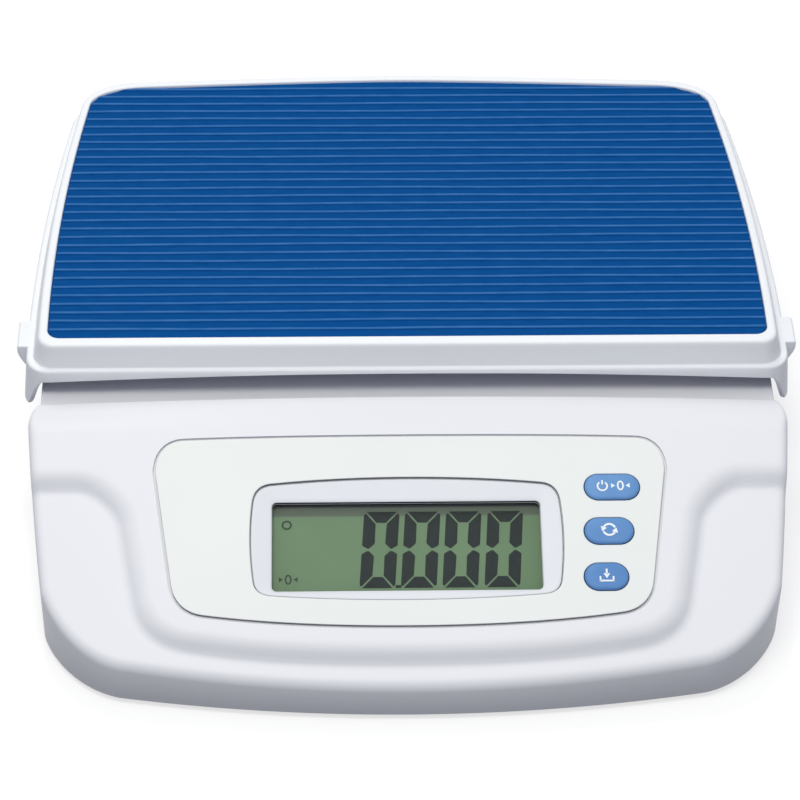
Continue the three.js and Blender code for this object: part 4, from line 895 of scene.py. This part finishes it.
openings = [eye_outline(-0.45)] + [button_outline(button, 0.1) for button in BUTTONS]
overlay = on_console(plate(overlay_outline(0), openings, -0.9, 0.5, 0.35))
overlay = piece("overlay_skin", overlay, overlay_plastic, "base", ["overlay_plate"], 40)
# The overlay's upright walls take the grey: painted shade along its edge and its openings.
line_walls(overlay, painted_groove_shade, 0.3)


def bezel_form():
    """A dished frame: a narrow level rim, then a hollow that falls gently towards the display opening."""
    outer = eye_outline(0)
    opening = even_steps(rounded_box(-57.65, 53.6, -89.15, -48.9, 2.2), 2.0)

    def height(flat, level):
        from_eye = np.maximum(distance_to(flat, outer), 0)
        from_opening = np.maximum(-distance_to(flat, opening), 0)
        edge = np.clip(from_eye / 0.35, 0, 1)
        rim = -0.5 - 0.35 * (1 - np.sqrt(1 - (1 - edge) ** 2))
        share = np.clip((from_eye - 1.0) / (from_eye + from_opening - 1.0 + 1e-6), 0, 1)
        lip = 0.25 * (1 - np.clip(from_opening / 0.35, 0, 1)) ** 2
        return rim - 1.4 * share - lip
    grid = lattice((-68, 64, 1.5), (-95, -37, 1.5))
    inside = (distance_to(grid, outer) > 1.9) & (-distance_to(grid, opening) > 1.2)
    top = surface_plate(outer, [opening], height, FLANGE_LOW, grid[inside],
                        (0.0, 0.05, 0.15, 0.35, 1.0), (0.0, 0.12, 0.35))
    flange = surface_plate(eye_outline(-3), [rounded_box(-57.5, 53.45, -89.0, -49.05, 2.1)],
                           lambda flat, level: FLANGE_TOP, FLANGE_LOW)
    return joined(top, flange)


def in_opening(place):
    along = (place.y - CREASE_Y) * COSINE + (place.z - CREASE_HEIGHT) * SINE
    return -58.0 < place.x < 54.0 and -89.6 < along < -48.5


bezel = on_console(bezel_form())
bezel = piece("display_bezel_skin", bezel, bezel_plastic, "base", ["display_bezel"], 40)
line_walls(bezel, black_plastic, 0.4, in_opening)


# Buttons: a domed cap on a flange and a stem, with a printed sign on top
def button_form(button):
    profile = [(0.0, FLANGE_LOW), (0.0, 0.45)]
    profile += [(1.45 * (1 - math.cos(turn)), 0.45 + 1.15 * math.sin(turn))
                for turn in np.radians(np.linspace(11, 78, 7))]
    profile += [(1.6, 1.66), (2.2, 1.74), (3.2, 1.83), (4.4, 1.885), (5.5, 1.9)]
    cap = loft([at_height(button_outline(button, -0.25 - level), height) for level, height in profile])
    flange = slab(button_outline(button, 1.6), FLANGE_LOW, FLANGE_TOP)
    stem = rod(2.4, button["x"], -button["down"], -7.2, FLANGE_TOP)
    return joined(cap, flange, stem)


def bar(x0, y0, x1, y1, width):
    """A straight stroke with square ends, as an outline."""
    a, b = np.array([x0, y0], float), np.array([x1, y1], float)
    along = (b - a) / np.linalg.norm(b - a)
    side = np.array([-along[1], along[0]]) * width / 2
    return np.array([a - side, b - side, b + side, a + side])


def bent(radius_x, radius_y, start, end, width, steps=28):
    """A curved stroke along part of an ellipse, as an outline."""
    turn = np.radians(np.linspace(start, end, steps))
    wave, radii = np.column_stack([np.cos(turn), np.sin(turn)]), np.array([radius_x, radius_y])
    return np.vstack([wave * (radii + width / 2), (wave * (radii - width / 2))[::-1]])


def thin(outlines, low, high):
    return joined(*[surface_plate(outline, [], lambda flat, level: high, low) for outline in outlines])


def moved(outlines, x, y, size=1.0):
    return [np.asarray(outline) * size + [x, y] for outline in outlines]


def triangle(x, y, direction, size):
    sine, cosine = math.sin(math.radians(direction)), math.cos(math.radians(direction))
    points = np.array([(0.5, 0), (-0.4, 0.55), (-0.4, -0.55)]) * size
    return points @ [(cosine, sine), (-sine, cosine)] + [x, y]


def ring_sign(radius_x, radius_y, width):
    return [bent(radius_x, radius_y, start, start + 180, width, 20) for start in (0, 180)]


POWER_SIGN = [bent(1, 1, 125, 415, 0.34), bar(0, 0.35, 0, 1.35, 0.34)]
ZERO_SIGN = ring_sign(0.55, 0.95, 0.34) + [triangle(-1.55, 0, 0, 0.95), triangle(1.55, 0, 180, 0.95)]
CYCLE_SIGN = [bent(1, 1, 20, 150, 0.34), bent(1, 1, 200, 330, 0.34),
              triangle(-1.02, 0.12, 250, 0.95), triangle(1.02, -0.12, 70, 0.95)]
STORE_SIGN = [bar(0, 1.35, 0, 0.2, 0.36), triangle(0, -0.05, 270, 1.15), bar(-1.25, -0.2, -1.25, -1.2, 0.34),
              bar(1.25, -0.2, 1.25, -1.2, 0.34), bar(-1.42, -1.12, 1.42, -1.12, 0.34)]
SIGNS = {
    "button_power": moved(POWER_SIGN, -4.1, -0.2, 2.0) + moved(ZERO_SIGN, 3.4, 0, 2.0),
    "button_mode": moved(CYCLE_SIGN, 0, 0, 2.5),
    "button_memory": moved(STORE_SIGN, 0, 0, 2.15),
}
blue_rubber = button_look()
for button in BUTTONS:
    name = button["name"]
    piece(name + "_skin", on_console(button_form(button)), blue_rubber, name, [name], 50)
    sign = moved(SIGNS[name], button["x"], -button["down"])
    piece(name + "_sign", on_console(thin(sign, 1.7, 1.93)), sign_ink, name)


# Display: four raised figures, a ring mark and a zero mark on the glass
def figure_segments(x, top, width, height, stroke):
    """Outlines of the six segments of a 0, leaning right, in a box whose upper left corner is at x, top."""
    gap, half, foot = 0.5, height / 2, top - height
    tip = stroke / 2
    inner = height - stroke + 0.3
    upper = [(1.2, height), (stroke + 0.1, inner), (width - stroke - 0.1, inner), (width - 1.2, height)]
    left = [(0, height - 1.5), (0, half + tip * 0.6 + 0.4), (tip - 0.7, half + gap + 0.2),
            (tip + 0.2, half + gap), (stroke - 0.1, half + tip + 0.2), (stroke - 0.25, inner - 0.6),
            (0.75, height - 0.75)]
    shapes = [upper, left, [(width - px, py) for px, py in left][::-1]]
    shapes += [[(px, height - py) for px, py in shape][::-1] for shape in shapes]
    lean = math.tan(math.radians(4))
    return [np.array([(x + px + py * lean, foot + py) for px, py in shape]) for shape in shapes]


figures = []
for start in (-21.75, -4.75, 12.3, 29.6):
    figures += figure_segments(start, -51.4, 14.7, 34.6, 5.3)
figures.append(np.array([(-6.9, -85.95), (-4.5, -85.95), (-4.4, -84.7), (-6.8, -84.7)]))
piece("display_figures", on_console(thin(figures, DISPLAY_LOW, DISPLAY_HIGH)), figure_ink, "base")
marks = moved(ring_sign(1.75, 1.75, 0.75), -51.5, -57.2) + moved(ZERO_SIGN, -50.9, -81.9, 2.0)
piece("display_marks", on_console(thin(marks, DISPLAY_LOW, DISPLAY_HIGH)), mark_ink, "base")


# Feet, cover screws and inlet
FOOT_PROFILE = [(6.6, 0.55), (7.0, 0.25), (7.2, 0.0), (8.3, 0.0), (8.75, 0.2), (9.0, 0.7), (9.0, 3.9)]
for end, x, y in (("front", 0.7 * CONSOLE_HALF, CREASE_Y - 0.698 * CONSOLE_DEPTH),
                  ("rear", 0.7325 * PLATFORM_HALF, PLATFORM_FRONT + 0.8 * PLATFORM_DEPTH)):
    for side, sign in (("left", -1), ("right", 1)):
        name = f"foot_{end}_{side}"
        form = lathe(FOOT_PROFILE, sign * x, y, 64)
        piece(name + "_skin", form, dark_rubber, "base", [name], 40)
for number, (x, y) in enumerate(SCREW_PLACES, 1):
    head = lathe([(2.7, 3.0), (3.0, 3.12), (3.1, 3.4), (3.1, 4.2)], x, y)
    shaft = lathe([(1.4, 4.0), (1.4, 12.2), (0.6, 13.2)], x, y, 32)
    screw = combine(head, shaft, "UNION")
    for width, depth in ((3.4, 0.8), (0.8, 3.4)):
        screw = cut(screw, block(x - width / 2, x + width / 2, y - depth / 2, y + depth / 2, 2.5, 3.8))
    piece(f"cover_screw_{number}_skin", screw, steel, "base", [f"cover_screw_{number}"], 30)


def jack_form():
    """The inlet, built upright about its axis and then laid along +Y."""
    end = JACK_DEPTH - 1
    nose = lathe([(4.6, 12.5), (4.6, end - 0.4), (4.45, end - 0.1), (4.2, end)], 0, 0)
    body = combine(block(-6, 6, -18.2, 6, 0, 13), nose, "UNION")
    body = cut(body, lathe([(2.9, end - 9), (2.9, end - 0.5), (3.3, end + 0.2)], 0, 0))
    pin = lathe([(1.05, end - 10), (1.05, end - 1.5), (0.85, end - 1.1), (0.5, end - 1)], 0, 0, 24)
    points, faces = along_y(joined(body, pin), JACK_X, JACK_Z)
    return points + [0, JACK_WALL - JACK_DEPTH, 0], faces


piece("dc_jack_skin", jack_form(), black_plastic, "base", ["dc_jack"], 30)


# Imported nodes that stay: a fine edge and a finish of their own
def dress(names, look, edge=0.3):
    for name in names:
        node = NODES[name]
        node.data.materials.clear()
        node.data.materials.append(look)
        weld = node.modifiers.new("weld", "WELD")
        weld.merge_threshold = 0.01 * MM
        if edge:
            bevel = node.modifiers.new("edge", "BEVEL")
            bevel.width, bevel.segments, bevel.limit_method = edge * MM, 2, "ANGLE"
            bevel.angle_limit = math.radians(40)


def named(start):
    return [name for name in NODES if name.startswith(start)]


dress(["bottom_cover", "battery_door", "display_holder"], inner_plastic)
dress(["base_plate", "platform_frame"] + named("base_plate_screw") + named("load_cell_bolt"), steel, 0.2)
dress(named("frame_screw") + named("board_screw") + named("battery_contacts"), steel, 0.1)
dress(["lower_spacer", "load_cell", "upper_spacer"], aluminium, 0.3)
dress(named("overload_stop") + named("contact_strip"), dark_rubber, 0.2)
dress([f"battery_{i}" for i in range(1, 5)], battery_sleeve, 0.3)
dress(["load_cell_cable", "battery_lead"], cable_sheath, 0)
dress(["display_window"], window_look(), 0)
dress(["display_glass"], display_look(), 0)
dress(["main_board"], board_lacquer, 0.1)
dress(["buzzer"] + named("switch") + named("tact"), black_plastic, 0.2)


# Floor, lights and camera
def floor_look():
    """A pale floor that the camera sees as white, with the object's shadow kept."""
    look = Look("floor", Roughness=0.9, Specular_IOR_Level=0.1)
    look.feed({"Base Color": look.tones(look.noise(3.0, 2.0), (96, 97, 100), (102, 103, 106))})
    path = look.node("LightPath").outputs
    rays = {0: path["Is Camera Ray"], 1: path["Is Glossy Ray"]}
    seen = look.node("Math", rays, operation="MAXIMUM")
    white = look.node("BsdfDiffuse", {"Color": (0.42, 0.42, 0.42, 1)})
    place = look.node("NewGeometry").outputs["Position"]
    reach = look.node("VectorMath", {0: place}, operation="LENGTH").outputs["Value"]
    glow = look.node("Emission", {"Strength": look.spread(reach, 0.66, 1.0, 0.5, 1.6)})
    both = look.node("AddShader", {0: white.outputs[0], 1: glow.outputs[0]})
    choice = look.node("MixShader", {
        0: seen.outputs[0], 1: look.shader.outputs[0], 2: both.outputs[0]})
    look.tree.links.new(choice.outputs[0], look.tree.nodes["Material Output"].inputs["Surface"])
    return look.material


floor_points = np.array([(-1, -1, 0), (1, -1, 0), (1, 1, 0), (-1, 1, 0)]) * 6000.0
floor = new_object("floor", new_mesh("floor", (floor_points, [(0, 1, 2, 3)])))
floor.data.materials.append(floor_look())
floor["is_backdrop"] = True

world = bpy.data.worlds.new("studio")
bpy.context.scene.world = world
world.use_nodes = True
studio = world.node_tree
sky = studio.nodes["Background"]
sky.inputs["Color"].default_value = (0.94, 0.965, 1.08, 1)
sky.inputs["Strength"].default_value = 0.52
white = add_node(studio, "Background", {"Color": (1, 1, 1, 1), "Strength": 1.0})
seen = add_node(studio, "LightPath").outputs["Is Camera Ray"]
choice = add_node(studio, "MixShader", {0: seen, 1: sky.outputs[0], 2: white.outputs[0]})
studio.links.new(choice.outputs[0], studio.nodes["World Output"].inputs["Surface"])


def lamp(name, place, size, power):
    """A slightly warm lamp that points at the scale."""
    light = bpy.data.lights.new(name, "AREA")
    light.shape, light.size, light.size_y = "RECTANGLE", size[0], size[1]
    light.energy, light.color = power, (1.0, 0.99, 0.88)
    holder = new_object(name, light)
    holder.location = place
    holder.rotation_euler = (Vector((0, 0, 0.05)) - Vector(place)).to_track_quat("-Z", "Y").to_euler()


lamp("key", (-0.18, -0.42, 1.45), (0.7, 0.4), 8.3)
lamp("back_fill", (-0.15, 0.6, 1.45), (0.25, 0.25), 4.8)

camera = new_object("camera", bpy.data.cameras.new("camera"))
camera.data.lens, camera.data.sensor_width, camera.data.clip_end = 135, 36, 20
forward = Vector((0.02579, 0.70664, -0.70711))
right = Vector((0.99933, -0.03647, 0.0))
up = Vector((0.02579, 0.70664, 0.70711))
roll_sine, roll_cosine = -0.01911, 0.99982
across = right * roll_cosine - up * roll_sine
above = right * roll_sine + up * roll_cosine
turn = Matrix((across, above, -forward)).transposed().to_4x4()
camera.matrix_world = Matrix.Translation((-0.0363, -0.9306, 0.9578)) @ turn
bpy.context.scene.camera = camera
bpy.context.scene.view_settings.view_transform = "Standard"


def plain(box):
    return [[float(value) for value in corner] for corner in box]


{"cad": plain(cad_box), "visual": plain(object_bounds())}
